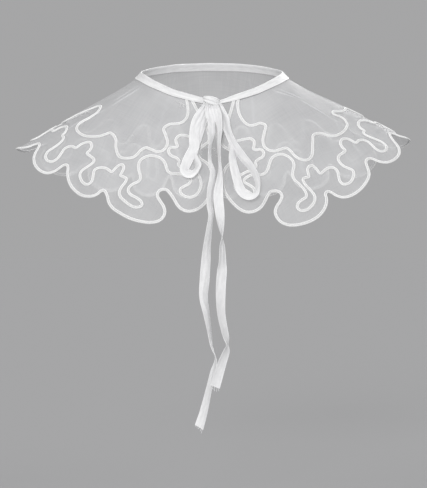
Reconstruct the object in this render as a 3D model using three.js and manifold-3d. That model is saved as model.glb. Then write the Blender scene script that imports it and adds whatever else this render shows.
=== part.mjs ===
// A detachable collar of sheer organza: a scalloped cape that lies over the shoulders, open at
// the centre front, with three narrow cords sewn on it, a ribbon folded over the neck edge, and
// a drooping bow with two long ends. It keeps the form that it has when worn. Millimetres, +Z up,
// the front faces -Y, and the origin is the centre of the neck opening.
//
// The cape is drawn on a flat pattern and then draped. A place on the pattern is two numbers:
// "around", in degrees round the neck from the centre front (90 is one shoulder, 180 the back,
// 270 the other shoulder), and "out", the millimetres down the cloth from the neck seam.
import * as THREE from "three";
import { mergeVertices } from "three/addons/utils/BufferGeometryUtils.js";
import Module from "manifold-3d";

// Driving sizes of cloth, cord and ribbon. TOUCH is the small space between pieces sewn together.
const CLOTH_THICK = 1.0;
const CORD_WIDE = 3.0;
const CORD_TALL = 1.6;
const CORD_STEP = 7;
const RIBBON_WIDE = 9.5;
const RIBBON_THICK = 1.0;
const BAND_TALL = 8.2;
const BAND_THICK = 2.2;
const BAND_SLOPE = 54;
const TOUCH = 0.55;

// How the cape hangs: slopes change from the seam to MID_OUT and on to RIM_OUT. The whole cape
// sits ASKEW degrees round the neck, and its left half falls steeper by SHOULDER_LEAN degrees.
const MID_OUT = 45;
const RIM_OUT = 130;
const PATTERN_REACH = 156;
const DRAPE_STEPS = 12;
const COLUMN_DEGREES = 6;
const RING_MM = 15.6;
const ASKEW = 2;
const SHOULDER_LEAN = 1.5;
const PLANE_MM_PER_DEGREE = 2.4;

// Where the ribbon ends hang: in front of the cape's centre, and straight down past its hem.
const HEM_Z = -142;
const FRONT_BULGE = 0.0022;
const KNOT = { x: -0.9, y: -71.2, z: -25.4, wide: 8, deep: 6.2, tall: 5, pinch: 0.1 };

// The binding stops this many degrees short of the centre front, beside the knot.
const BAND_GAP = 5;
const BAND_STEPS = 56;
const CURVE_DIVISIONS_PER_BEND = 12;

const table = (columns, rows) =>
  rows.map((row) => Object.fromEntries(columns.map((name, i) => [name, row[i]])));

// The neck seam and the way that the cloth leaves it: its heading in degrees from the centre
// front, and how steeply it falls at the seam, at MID_OUT and at RIM_OUT.
const SPOKES = table(
  ["around", "x", "y", "z", "heading", "seam", "mid", "rim"],
  [
    [0, 0, -66, -28.5, 0, 56, 60, 66],
    [25, 33, -60, -21.5, 22, 54, 58, 66],
    [45, 54, -46, -12.5, 41, 47, 52, 60],
    [66, 69, -26, -4, 63, 38, 42, 49],
    [90, 75, 0, 1.5, 90, 35, 26, 29],
    [114, 69, 26, 6, 117, 38, 42, 54],
    [135, 54, 43, 10, 139, 50, 56, 66],
    [155, 33, 54, 13, 158, 58, 64, 72],
    [180, 0, 59, 14.5, 180, 62, 68, 74],
  ],
);

// Soft radial folds, each one a ridge that rises away from the neck.
const FOLDS = table(
  ["around", "width", "rise"],
  [
    [34, 7, 1.6],
    [62, 6, 2.4],
    [77, 5, -2],
    [96, 7, 2.6],
    [118, 7, -2.4],
    [139, 8, 3],
    [160, 8, -2],
    [202, 8, 2.6],
    [226, 8, -2.4],
    [247, 7, 2.8],
    [268, 7, -2],
    [284, 5, 2],
    [300, 6, -1.8],
    [327, 7, 2],
  ],
);

// Half of the scalloped edge, from the neck at the centre front to beyond the shoulder.
const EDGE_BENDS = table(
  ["around", "out"],
  [
    [16, 1.5], [12, 9], [9, 18], [6.6, 28], [4.8, 38], [4.6, 45.5], [6.6, 50], [9, 54.5],
    [9.8, 60], [8.6, 66], [6.2, 70.5], [4, 75], [2.5, 82], [2.2, 91], [2.8, 99], [4.5, 106.5],
    [6.8, 113.5], [9.5, 119.5], [12.3, 122.7], [15, 122.3], [17.3, 119], [19.2, 113.5],
    [21, 108.5], [22.8, 105.2], [24.8, 106], [26.4, 109.5], [26.6, 114], [25.3, 118.8],
    [23.8, 123], [22.8, 129], [23, 134.5], [24.3, 139.5], [27, 143], [31, 145], [35, 145.3],
    [39, 143.5], [42.3, 140], [44.3, 135], [45.5, 129.5], [47.2, 126.6], [48.6, 129.3],
    [49.5, 133.5], [51, 137.7], [53, 140.2], [55.5, 140.7], [58, 138.8], [60.3, 135.3],
    [62.3, 129.5], [63.7, 123.5], [64.6, 118.8], [65.8, 116.6], [67.3, 118.4], [68.2, 122],
    [69.3, 128], [71, 133.5], [73.3, 136.8], [76, 137.2], [78.4, 134.5], [80.3, 129.5],
    [81.6, 123.5], [82.8, 118.8],
  ],
);

// One plain scallop, as shares of its width, repeated round the hidden back.
const SCALLOP = table(
  ["share", "out"],
  [
    [0, 117.5], [0.08, 122], [0.12, 128.5], [0.21, 134.5], [0.35, 138.2], [0.5, 139.3],
    [0.65, 138.2], [0.79, 134.5], [0.88, 128.5], [0.92, 122],
  ],
);
const SCALLOPS_FROM = 84;
const SCALLOP_COUNT = 5;

// Half of the plain waving cord, from the neck to the top of the shoulder.
const WAVE_BENDS = table(
  ["around", "out"],
  [
    [19.4, 1.5], [17.3, 8], [16.4, 15], [16.6, 21], [18.2, 27], [20.8, 31.2], [24, 33],
    [27.2, 34.6], [29.5, 40], [28, 46.5], [26.4, 53.5], [26.1, 60.5], [27.5, 66], [29.8, 68.8],
    [33, 69.3], [35.8, 70], [37.6, 74], [38.8, 80.5], [40.2, 86], [42.3, 89], [44.9, 89.2],
    [47.2, 87], [49, 82], [50.6, 76.5], [52, 71], [54, 69], [56.9, 69.7], [58.8, 73.7],
    [61.4, 78.2], [64.6, 81], [68, 82], [71, 81.2], [73.5, 79.3], [75, 75.5], [75.2, 70],
    [74.4, 63], [74.2, 56], [75.4, 50.5], [77.8, 47], [81, 48.5], [84.6, 58],
  ],
);

// One plain wave, as shares of the repeat, from the top of one wave to the next.
const WAVE = table(
  ["share", "out"],
  [
    [0.27, 73.5], [0.5, 83], [0.73, 73.5], [1, 64],
  ],
);

// Half of the winding cord: a first hook at the centre front, then cloud and hook in turn.
const CLOUD_BENDS = table(
  ["around", "out"],
  [
    [7.2, 43.6], [10, 42], [13.5, 42.2], [17.2, 43.3], [20.4, 45.3], [21.9, 49.3], [21.2, 53.8],
    [20.2, 57.8], [21.6, 60], [23.4, 61], [24.3, 64], [23.9, 68.3], [22.4, 71.6], [20.2, 73.2],
    [18.8, 75.6], [18.8, 79.2], [17, 81.3], [13.8, 81.4], [10.9, 83.2], [9, 87], [8.2, 93],
    [8.7, 99], [10.3, 104.5], [12.5, 107.6], [14.8, 107.2], [16.5, 104.5], [16.7, 100.2],
    [15.2, 96.5], [13.4, 93], [12.8, 89.8], [14, 87.2], [16.4, 86.2], [18.8, 87], [21, 88],
    [22.9, 87], [24.2, 84], [25.2, 80.2], [26.4, 76.6], [28.2, 74.2], [30.4, 73.6],
    [32.9, 74.8], [34.9, 77.8], [36.4, 81.6], [37.2, 87], [36.8, 92.5], [35.4, 98],
    [34.6, 102.5], [34.9, 106.5], [36.2, 111], [37.3, 116], [37.4, 121], [36.2, 125.2],
    [34, 126.6], [32.4, 128.3], [31.9, 131.2], [32.7, 134.6], [34.4, 136.2], [36.6, 134.9],
    [38.8, 131.4], [40.2, 127], [40.6, 121.8], [40.1, 116.5], [39.2, 111.5], [39.1, 107.6],
    [40.6, 106.2], [42.1, 105.7], [42.1, 101.6], [42.4, 98], [43.5, 96], [45.1, 96.4],
    [46.3, 100], [47.2, 105.6], [48.7, 105.2], [50.2, 104.8], [51.9, 105.8], [53.1, 108.5],
    [53.5, 112.5], [53.1, 118], [52.9, 123], [53.5, 127.3], [54.9, 129.3], [56.6, 127.6],
    [57.9, 123.3], [58.3, 119], [57.7, 114.5], [56.8, 110], [56.4, 105], [56.7, 100.5],
    [57.9, 97.6], [59.6, 96.6], [61.1, 95.8], [61, 92], [61.4, 88.6], [63, 86.6], [65, 88.6],
    [66.5, 92.5], [67.6, 98.2], [69.4, 98.8], [71.1, 101.3], [71.9, 105], [71.8, 110],
    [71.8, 115], [72.6, 120], [74.4, 122.6], [76, 121], [76.7, 116], [76.3, 110.5],
    [75.6, 104], [75.4, 98.5], [76.1, 95.4], [77.6, 94.4], [77.7, 90], [78.6, 86.6], [80.5, 85],
  ],
);

// One cloud and hook, as shares of the repeat, from the top of one bump to the next.
const CLOUD_AND_HOOK = table(
  ["share", "out"],
  [
    [0.1, 87], [0.18, 91.5], [0.24, 98.2], [0.33, 98.8], [0.42, 101.3], [0.46, 105],
    [0.46, 110], [0.46, 115], [0.5, 120], [0.6, 122.6], [0.69, 121], [0.73, 116], [0.71, 110.5],
    [0.67, 104], [0.66, 98.5], [0.7, 95.4], [0.8, 94.4], [0.81, 90], [0.87, 86.6], [1, 85],
  ],
);
const BACK_REPEATS = 5;

// The ribbons of the bow. "lie" is how far a ribbon's middle is in front of the cape's centre
// front, and "turn" how far its face is turned from the front, in degrees.
const RIBBON_COLUMNS = ["x", "z", "lie", "turn"];
const LEFT_LOOP = table(RIBBON_COLUMNS, [
  [-5.9, -30.4, 4.2, 0], [-10.6, -38, 6.6, 6], [-14.2, -46.5, 8, 10], [-15.7, -60.6, 9, 8],
  [-17.2, -71.4, 9.2, 4], [-21.8, -80.6, 9.2, 4], [-24.8, -87.6, 9, 16], [-24.4, -93, 8.8, 34],
  [-20.8, -95.6, 8.4, 42], [-16.8, -93.2, 7.6, 44], [-14.2, -87.5, 6.8, 40],
  [-14.6, -79.6, 6.4, 30], [-14.6, -71.4, 6.2, 16], [-12.4, -60, 6.2, 8], [-10.2, -47, 5.4, 4],
  [-8.4, -38, 4.5, 0], [-6.4, -31.4, 2.2, 0],
]);
const RIGHT_LOOP = table(RIBBON_COLUMNS, [
  [5.1, -29.7, 4.2, 0], [9, -38.4, 6.4, -6], [15.5, -55, 8.6, -10], [22, -67, 9.4, -12],
  [31.2, -80.7, 9.6, -16], [38.3, -91.4, 9.8, -28], [42.6, -102, 9.8, -52],
  [43.2, -110.4, 9.8, -66], [40.6, -116.4, 9.2, -44], [35, -117.6, 8.2, -24],
  [28.9, -114.7, 7.4, -20], [25.3, -108.4, 7, -24], [22.6, -95.3, 6.8, -26],
  [20.2, -81.7, 6.8, -16], [18, -70.9, 6.6, -8], [15.6, -60, 6.2, -4], [12.6, -49, 5.4, 0],
  [9.4, -39, 3.6, 0], [6.4, -31.4, 2, 0],
]);
const LEFT_TAIL = table(RIBBON_COLUMNS, [
  [-2, -30.9, 6.2, 0], [-3, -38, 8.4, 4], [-2.4, -46, 9.6, 30], [-1.6, -54, 9.8, 58],
  [-2, -69, 9.4, 76], [-2.1, -83.6, 9, 74], [0.6, -95.3, 9, 60], [-1.2, -113.6, 7.6, 52],
  [-1.8, -127, 7.8, 54], [-0.6, -137.5, 8, 60], [-2.4, -150.8, 8, 56], [-4.2, -164, 8, 46],
  [-5.5, -179.1, 8, 28], [-6.8, -197.5, 8, 20], [-7.7, -214, 8, 36], [-5, -229.1, 8, 52],
  [-2.4, -244.2, 8, 66], [0.2, -260.3, 8, 78], [3.8, -273, 8, 100], [1.2, -284.4, 8, 118],
  [-2, -298, 8, 122], [-7.8, -322.6, 8, 138], [-12, -336.6, 8, 152],
]);
const RIGHT_TAIL = table(RIBBON_COLUMNS, [
  [4, -29.6, 8.6, 0], [6, -38, 11.5, -4], [7.2, -46, 12.3, -34], [7.3, -54, 11.6, -60],
  [6.8, -68, 11, -70], [7.4, -83.6, 10.4, -76], [6.9, -100.1, 11.4, -56],
  [5.9, -119.3, 12.6, -20], [7.4, -134.6, 12, -28], [8.8, -150.8, 11, -66],
  [9.3, -157.4, 11, -90], [9.5, -165.9, 11, -118], [9.8, -181.9, 11, -136],
  [9.3, -190, 11, -158], [8.3, -205.5, 11, -160], [8.7, -229.1, 11, -140],
  [11.5, -244.2, 11.5, -126], [14, -255.4, 12, -104], [14.1, -262.6, 12.6, -116],
  [9.7, -275.3, 14, -144], [2.8, -298.1, 15.5, -164],
]);

const radians = THREE.MathUtils.degToRad;
const UP = new THREE.Vector3(0, 0, 1);
const TO_FRONT = new THREE.Vector3(0, -1, 0);

// The spoke at any index: the halves mirror each other at the centre front and at the back.
function spokeAt(index) {
  const last = SPOKES.length - 1;
  if (index < 0) {
    const s = SPOKES[-index];
    return { ...s, around: -s.around, x: -s.x, heading: -s.heading };
  }
  if (index > last) {
    const s = SPOKES[2 * last - index];
    return { ...s, around: 360 - s.around, x: -s.x, heading: 360 - s.heading };
  }
  return SPOKES[index];
}

// The spoke between two rows, by a smooth curve through the rows beside them.
function spoke(degrees) {
  let i = 0;
  while (i < SPOKES.length - 2 && degrees > SPOKES[i + 1].around) i += 1;
  const [before, start, end, after] = [i - 1, i, i + 1, i + 2].map(spokeAt);
  const gap = end.around - start.around;
  const u = (degrees - start.around) / gap;
  const between = (name) => {
    const leave = ((end[name] - before[name]) / (end.around - before.around)) * gap;
    const arrive = ((after[name] - start[name]) / (after.around - start.around)) * gap;
    const rise = end[name] - start[name];
    return start[name] + u * (leave + u * (3 * rise - 2 * leave - arrive
      + u * (leave + arrive - 2 * rise)));
  };
  const names = ["x", "y", "z", "heading", "seam", "mid", "rim"];
  return Object.fromEntries(names.map((name) => [name, between(name)]));
}

// How far the folds lift the cloth at a place of the pattern.
function foldRise(around, out) {
  const grow = Math.min(1, out / RIM_OUT);
  return FOLDS.reduce((sum, fold) => {
    const off = (around - fold.around) / fold.width;
    return sum + fold.rise * grow * Math.exp(-off * off);
  }, 0);
}

// A point of the hanging cloth, lifted off its middle by "lift".
function drape(around, out, lift = 0) {
  const turned = (around + ASKEW + 360) % 360;
  const side = turned <= 180 ? 1 : -1;
  const s = spoke(side > 0 ? turned : 360 - turned);
  const heading = radians(s.heading);
  const lean = SHOULDER_LEAN * side * Math.sin(radians(s.heading));
  let run = 0;
  let drop = 0;
  let slope = radians(s.seam - lean);
  for (let i = 0; i < DRAPE_STEPS; i += 1) {
    const here = (out * (i + 0.5)) / DRAPE_STEPS;
    const first = Math.min(here / MID_OUT, 1);
    const second = Math.max(0, (here - MID_OUT) / (RIM_OUT - MID_OUT));
    slope = radians(s.seam + (s.mid - s.seam) * first + (s.rim - s.mid) * second - lean);
    run += (Math.cos(slope) * out) / DRAPE_STEPS;
    drop += (Math.sin(slope) * out) / DRAPE_STEPS;
  }
  const off = lift + foldRise(around, out);
  run += Math.sin(slope) * off;
  return new THREE.Vector3(
    side * (s.x + run * Math.sin(heading)),
    s.y - run * Math.cos(heading),
    s.z - drop + Math.cos(slope) * off,
  );
}

// The outer side's direction at a place of the pattern.
function outward(around, out) {
  const nudge = 0.5;
  const along = drape(around + nudge, out).sub(drape(around - nudge, out));
  const down = drape(around, out + nudge).sub(drape(around, out - nudge));
  return down.cross(along).normalize();
}

// Both halves of a row of bends as one row, from the right front round the back to the left.
const mirrored = (bends) => [
  ...bends,
  ...bends.filter((b) => b.around < 180).reverse().map((b) => ({ ...b, around: 360 - b.around })),
];

// A smooth run through the bends, as places of the pattern about "step" millimetres apart.
function smoothRun(bends, step) {
  const curve = new THREE.CatmullRomCurve3(
    bends.map((b) => new THREE.Vector3(b.around * PLANE_MM_PER_DEGREE, b.out, 0)),
  );
  curve.arcLengthDivisions = bends.length * CURVE_DIVISIONS_PER_BEND;
  const count = Math.round(curve.getLength() / step);
  return curve
    .getSpacedPoints(count)
    .map((p) => ({ around: p.x / PLANE_MM_PER_DEGREE, out: p.y }));
}

function edgeBends() {
  const width = (180 - SCALLOPS_FROM) / SCALLOP_COUNT;
  const back = Array.from({ length: SCALLOP_COUNT }, (_, k) =>
    SCALLOP.map(({ share, out }) => ({ around: SCALLOPS_FROM + (k + share) * width, out })),
  ).flat();
  return mirrored([...EDGE_BENDS, ...back, { around: 180, out: SCALLOP[0].out }]);
}

// A front row of bends carried on to the middle of the back by a repeat, and then mirrored.
function carriedOn(bends, repeat) {
  const start = bends.at(-1).around;
  const width = (180 - start) / BACK_REPEATS;
  const back = Array.from({ length: BACK_REPEATS }, (_, k) =>
    repeat.map(({ share, out }) => ({ around: start + (k + share) * width, out })),
  ).flat();
  return mirrored([...bends, ...back]);
}

// Joins rings of points into one closed skin with flat ends.
function skin(rings) {
  const sides = rings[0].length;
  const index = [];
  for (let r = 0; r + 1 < rings.length; r += 1) {
    for (let s = 0; s < sides; s += 1) {
      const a = r * sides + s;
      const b = r * sides + ((s + 1) % sides);
      index.push(a, b, b + sides, a, b + sides, a + sides);
    }
  }
  const last = (rings.length - 1) * sides;
  for (let s = 1; s + 1 < sides; s += 1) {
    index.push(0, s + 1, s, last, last + s, last + s + 1);
  }
  const geometry = new THREE.BufferGeometry().setFromPoints(rings.flat());
  return geometry.setIndex(index);
}

// A closed geometry as a solid for cutting, with every triangle kept as a face of its own.
function solidOf(wasm, geometry) {
  geometry.deleteAttribute("normal");
  geometry.deleteAttribute("uv");
  const merged = mergeVertices(geometry);
  const triVerts = new Uint32Array(merged.index.array);
  return new wasm.Manifold(
    new wasm.Mesh({
      numProp: 3,
      vertProperties: merged.attributes.position.array,
      triVerts,
      faceID: Uint32Array.from({ length: triVerts.length / 3 }, (_, i) => i),
    }),
  );
}

// The flat sheet of the pattern: a grid of columns and rings, CLOTH_THICK deep.
function patternSheet() {
  const columns = Math.round(360 / COLUMN_DEGREES);
  const rings = Math.round(PATTERN_REACH / RING_MM);
  const start = TOUCH;
  const high = (PATTERN_REACH - start) / rings;
  const sheet = new THREE.BoxGeometry(360, PATTERN_REACH - start, CLOTH_THICK, columns, rings, 1);
  return sheet.translate(180, start + (rings * high) / 2, 0);
}

// The cape: the scalloped outline cut from the flat sheet, then draped. Draping turns the pattern
// over, so the triangles' corners are taken in the other order.
function cape(wasm) {
  const run = smoothRun(edgeBends(), CORD_STEP);
  const outline = new THREE.Shape([
    new THREE.Vector2(run[0].around, 0),
    ...run.map((p) => new THREE.Vector2(p.around, p.out)),
    new THREE.Vector2(run.at(-1).around, 0),
  ]);
  const cutter = new THREE.ExtrudeGeometry(outline, { depth: 4 * CLOTH_THICK, bevelEnabled: false });
  cutter.translate(0, 0, -2 * CLOTH_THICK);
  const cut = solidOf(wasm, patternSheet()).intersect(solidOf(wasm, cutter)).getMesh();
  const points = [];
  for (let i = 0; i < cut.vertProperties.length; i += cut.numProp) {
    const [around, out, lift] = cut.vertProperties.subarray(i, i + 3);
    points.push(drape(around, out, lift));
  }
  return new THREE.BufferGeometry().setFromPoints(points).setIndex([...cut.triVerts].reverse());
}

// A cord sewn on the outer side of the cape, with a ridge along its middle.
function sewnCord(bends) {
  const run = smoothRun(bends, CORD_STEP);
  const base = CLOTH_THICK / 2 + TOUCH;
  const rings = run.map((place, i) => {
    const a = run[Math.max(0, i - 1)];
    const b = run[Math.min(run.length - 1, i + 1)];
    const foot = drape(place.around, place.out);
    const up = outward(place.around, place.out);
    const along = drape(b.around, b.out).sub(drape(a.around, a.out)).normalize();
    const side = new THREE.Vector3().crossVectors(along, up).normalize();
    const corner = (across, high) =>
      foot.clone().addScaledVector(side, across).addScaledVector(up, high);
    return [
      corner(-CORD_WIDE / 2, base),
      corner(0, base + CORD_TALL),
      corner(CORD_WIDE / 2, base),
    ];
  });
  return skin(rings);
}

// The ribbon folded over the neck edge: a sloping band from one side of the knot to the other.
function neckBinding() {
  const rings = [];
  const slope = radians(BAND_SLOPE);
  for (let i = 0; i <= BAND_STEPS; i += 1) {
    const around = BAND_GAP + (i * (360 - 2 * BAND_GAP)) / BAND_STEPS;
    const side = around <= 180 ? 1 : -1;
    const s = spoke(side > 0 ? around : 360 - around);
    const heading = radians(s.heading);
    const inward = new THREE.Vector3(-side * Math.sin(heading), Math.cos(heading), 0);
    const rise = inward.clone().multiplyScalar(Math.cos(slope)).addScaledVector(UP, Math.sin(slope));
    const face = inward.clone().multiplyScalar(-Math.sin(slope)).addScaledVector(UP, Math.cos(slope));
    const seam = new THREE.Vector3(side * s.x, s.y, s.z);
    const corner = (up, forth) =>
      seam.clone().addScaledVector(rise, up).addScaledVector(face, forth * BAND_THICK);
    rings.push([corner(0, -0.5), corner(BAND_TALL, -0.5), corner(BAND_TALL, 0.5), corner(0, 0.5)]);
  }
  return skin(rings);
}

// The knot: one soft lump, pinched where the ribbon wraps round it.
function bowKnot() {
  const lump = new THREE.SphereGeometry(1, 18, 12);
  const p = lump.attributes.position;
  for (let i = 0; i < p.count; i += 1) {
    const pinch = 1 - KNOT.pinch * Math.cos(p.getX(i) * Math.PI) * (1 - p.getX(i) ** 2);
    p.setXYZ(
      i,
      KNOT.x + KNOT.wide * p.getX(i),
      KNOT.y + KNOT.deep * p.getY(i) * pinch,
      KNOT.z + KNOT.tall * p.getZ(i) * pinch,
    );
  }
  lump.deleteAttribute("normal");
  lump.deleteAttribute("uv");
  return mergeVertices(lump);
}

// The cape's centre front at a height: the ribbons lie on it, and hang straight below the hem.
function frontAt(x, z) {
  const [top, middle, low] = [0, MID_OUT, RIM_OUT].map((out) => {
    const s = SPOKES[0];
    const slope = radians(out ? (s.seam + (out === MID_OUT ? s.mid : (s.mid + s.rim) / 2)) / 2 : 0);
    return { y: s.y - out * Math.cos(slope), z: s.z - out * Math.sin(slope) };
  });
  const height = Math.max(z, HEM_Z);
  const [from, to] = height > middle.z ? [top, middle] : [middle, low];
  const share = (height - from.z) / (to.z - from.z);
  return from.y + (to.y - from.y) * share + FRONT_BULGE * x * x;
}

// A ribbon along its rows: a flat strip that turns about its own run.
function ribbon(rows, stepsPerRow = 2) {
  const points = rows.map((r) => new THREE.Vector3(r.x, frontAt(r.x, r.z) - r.lie, r.z));
  const curve = new THREE.CatmullRomCurve3(points);
  const count = (rows.length - 1) * stepsPerRow;
  const rings = [];
  for (let i = 0; i <= count; i += 1) {
    const t = i / count;
    const row = Math.min(Math.floor(i / stepsPerRow), rows.length - 2);
    const share = i / stepsPerRow - row;
    const turn = radians(rows[row].turn + (rows[row + 1].turn - rows[row].turn) * share);
    const along = curve.getTangent(t);
    const flat = new THREE.Vector3().crossVectors(along, TO_FRONT).normalize();
    const face = new THREE.Vector3().crossVectors(flat, along).normalize();
    const across = flat.clone().multiplyScalar(Math.cos(turn)).addScaledVector(face, Math.sin(turn));
    const thick = new THREE.Vector3().crossVectors(across, along).normalize();
    const corner = (side, front) =>
      curve
        .getPoint(t)
        .addScaledVector(across, (side * RIBBON_WIDE) / 2)
        .addScaledVector(thick, (front * RIBBON_THICK) / 2);
    rings.push([corner(1, -1), corner(-1, -1), corner(-1, 1), corner(1, 1)]);
  }
  return skin(rings);
}

const organza = new THREE.MeshStandardMaterial({
  color: "#e9e9ea", roughness: 0.6, metalness: 0, transparent: true, opacity: 0.5,
});
const cord = new THREE.MeshStandardMaterial({ color: "#f4f4f3", roughness: 0.5, metalness: 0 });
const satin = new THREE.MeshStandardMaterial({ color: "#f1f1f0", roughness: 0.45, metalness: 0 });

const wasm = await Module();
wasm.setup();

const collar = new THREE.Group();
const add = (name, geometry, material) => {
  const mesh = new THREE.Mesh(geometry, material);
  mesh.name = name;
  collar.add(mesh);
};
add("collar_body", cape(wasm), organza);
add("edge_cord", sewnCord(edgeBends()), cord);
add("upper_wave_cord", sewnCord(carriedOn(WAVE_BENDS, WAVE)), cord);
add("cloud_cord", sewnCord(carriedOn(CLOUD_BENDS, CLOUD_AND_HOOK)), cord);
add("neck_binding", neckBinding(), satin);
add("bow_knot", bowKnot(), satin);
add("bow_loop_left", ribbon(LEFT_LOOP), satin);
add("bow_loop_right", ribbon(RIGHT_LOOP), satin);
add("tie_tail_left", ribbon(LEFT_TAIL), satin);
add("tie_tail_right", ribbon(RIGHT_TAIL), satin);

export default collar;
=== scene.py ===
# %% [markdown]
# A sheer cape collar with winding cords and a ribbon bow
#
# The real thing is a loose collar of see-through organza that is worn over other clothes. Its outer
# edge is scalloped, three narrow white cords wind over it, a ribbon is folded over the neck edge,
# and a narrower one of the same kind is tied in a soft bow with two long ends. The lesson makes each
# piece as a tailor would: the cape is drawn flat, cut, and laid over the shoulders, and the cords and
# ribbons follow it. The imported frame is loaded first. Each of its plain solids gives way to a piece
# of cloth, cord or ribbon, and stitches, creases and loose threads are added to them.

# %% Load the frame
import math
import random

import bpy
import numpy as np
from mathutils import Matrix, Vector
from mathutils.geometry import delaunay_2d_cdt


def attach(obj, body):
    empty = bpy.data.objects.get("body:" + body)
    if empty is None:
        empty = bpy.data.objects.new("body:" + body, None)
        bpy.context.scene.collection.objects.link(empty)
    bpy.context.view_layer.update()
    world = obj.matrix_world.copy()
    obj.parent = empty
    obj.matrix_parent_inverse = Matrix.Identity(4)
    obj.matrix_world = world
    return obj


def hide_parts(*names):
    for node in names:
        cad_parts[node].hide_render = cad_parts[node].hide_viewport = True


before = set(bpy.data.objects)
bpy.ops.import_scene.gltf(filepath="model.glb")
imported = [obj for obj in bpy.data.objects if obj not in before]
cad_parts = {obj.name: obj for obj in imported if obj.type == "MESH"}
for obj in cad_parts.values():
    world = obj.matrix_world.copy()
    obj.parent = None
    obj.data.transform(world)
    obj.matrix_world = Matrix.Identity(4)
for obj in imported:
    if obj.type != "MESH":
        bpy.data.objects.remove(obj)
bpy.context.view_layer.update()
scene = bpy.context.scene
MM = 0.001
print("solids in the frame:", sorted(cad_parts))

# %% [markdown]
# The camera
#
# A garment is usually photographed from far away with a long lens, level with its middle, so that
# nothing looks stretched. A short lens close by would swell the bow. Here the camera stands 2.4 m
# in front of the neck, looks straight ahead, and its lens makes one pixel about one millimetre.

# %% Stand the camera in front
PHOTO_HIGH = 488
PIXELS_PER_METRE_AT_ONE_METRE = 2400
CAMERA_FAR, CAMERA_RIGHT, CAMERA_UP = 2.4, 0.0015, -0.164
SENSOR_WIDE = 36.0

camera_data = bpy.data.cameras.new("camera")
camera_data.sensor_width = SENSOR_WIDE
camera_data.lens = SENSOR_WIDE * PIXELS_PER_METRE_AT_ONE_METRE / PHOTO_HIGH
camera = bpy.data.objects.new("camera", camera_data)
camera.location = (CAMERA_RIGHT, -CAMERA_FAR, CAMERA_UP)
camera.rotation_euler = (math.radians(90), 0, 0)
scene.collection.objects.link(camera)
scene.camera = camera
print(f"lens {camera_data.lens:.1f} mm at {CAMERA_FAR} m")

# %% [markdown]
# Light and floor
#
# White cloth shows its folds only against something a little darker. The main light is a soft sun
# from close beside the camera: from further round, the bow would throw its shadow over the cords
# beside it. Weaker ones from the right and the left, and one about as strong from behind, keep every
# side from going flat, and a pale grey world fills in the rest. Suns light a floor evenly to its far
# end, so its colour can be worked out from theirs: it then looks as grey as the world, and no
# horizon shows from any side.

# %% Pale world, pale floor and four soft suns
PALE, BLUER = 0.38, 1.01
FLOOR_HEIGHT, FLOOR_RADIUS = -0.42, 40
SUNS = [  # name, strength, softness in degrees, direction
    ("beside the camera", 1.5, 14, (0.14, 0.95, -0.22)),
    ("from the right", 0.7, 40, (-0.65, 0.6, -0.5)),
    ("from the left", 0.6, 40, (0.75, 0.5, -0.5)),
    ("from behind", 1.7, 40, (-0.25, -0.8, -0.5)),
]

scene.view_settings.view_transform = "Standard"
world = bpy.data.worlds.new("pale studio")
scene.world = world
world.use_nodes = True
background = world.node_tree.nodes["Background"]
background.inputs["Color"].default_value = (PALE, PALE, PALE * BLUER, 1)
background.inputs["Strength"].default_value = 1.0


def soft_sun(name, strength, softness, direction):
    """A sun that shines along direction, with shadows as soft as a wide lamp's."""
    data = bpy.data.lights.new(name, "SUN")
    data.energy = strength
    data.angle = math.radians(softness)
    lamp = bpy.data.objects.new(name, data)
    lamp.rotation_mode = "QUATERNION"
    lamp.rotation_quaternion = Vector(direction).to_track_quat("-Z", "Y")
    scene.collection.objects.link(lamp)


for sun in SUNS:
    soft_sun(*sun)
sun_on_floor = sum(strength * -Vector(way).normalized().z / math.pi for _, strength, _, way in SUNS)
floor_grey = PALE / (PALE + sun_on_floor)
print(f"the floor's colour is {floor_grey:.3f}")

bpy.ops.mesh.primitive_circle_add(
    vertices=96, radius=FLOOR_RADIUS, fill_type="NGON", location=(0, 0, FLOOR_HEIGHT))
floor = bpy.context.object
floor.name = "floor"
floor_material = bpy.data.materials.new("pale floor")
floor_material.use_nodes = True
floor_shader = floor_material.node_tree.nodes["Principled BSDF"]
floor_shader.inputs["Base Color"].default_value = (floor_grey, floor_grey, floor_grey * BLUER, 1)
floor_shader.inputs["Roughness"].default_value = 1.0
floor_shader.inputs["Specular IOR Level"].default_value = 0.0
floor.data.materials.append(floor_material)

# %% [markdown]
# Smooth lines through a few points
#
# A cord's path is known at some tens of places. Straight lines between them would look like wire
# bent with pliers. A Catmull-Rom spline passes through every point and stays smooth; the centripetal
# kind is used, because it makes no small loops where points lie close together. The line is then cut
# into even steps, so that a cord or ribbon swept along it has rings of one size.

# %% Spline and even steps
TINY = 1e-6


def curve_between(start, end, leave, arrive, share):
    """Points on a smooth curve from start to end, for each share of the way, from 0 to 1."""
    square, cube = share**2, share**3
    return ((2 * cube - 3 * square + 1) * start + (cube - 2 * square + share) * leave
            + (3 * square - 2 * cube) * end + (cube - square) * arrive)


def smooth_line(points, pieces=14):
    """A centripetal Catmull-Rom line through the points, with some pieces between each two."""
    points = np.asarray(points, float)
    points = np.vstack([2 * points[0] - points[1], points, 2 * points[-1] - points[-2]])
    share = np.linspace(0, 1, pieces, endpoint=False)[:, None]
    line = []
    for a, b, c, d in zip(points, points[1:], points[2:], points[3:]):
        ab, bc, cd = (max(np.linalg.norm(y[:3] - x[:3]), TINY) ** 0.5 for x, y in ((a, b), (b, c), (c, d)))
        leave = bc * ((b - a) / ab - (c - a) / (ab + bc) + (c - b) / bc)
        arrive = bc * ((c - b) / bc - (d - b) / (bc + cd) + (d - c) / cd)
        line.append(curve_between(b, c, leave, arrive, share))
    return np.vstack([*line, points[-2:-1]])


def unit(vectors):
    """The same directions, each one long."""
    return vectors / np.linalg.norm(vectors, axis=-1, keepdims=True)


def along_of(points):
    """The direction of a line at each of its points."""
    return unit(np.gradient(points, axis=0))


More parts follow.
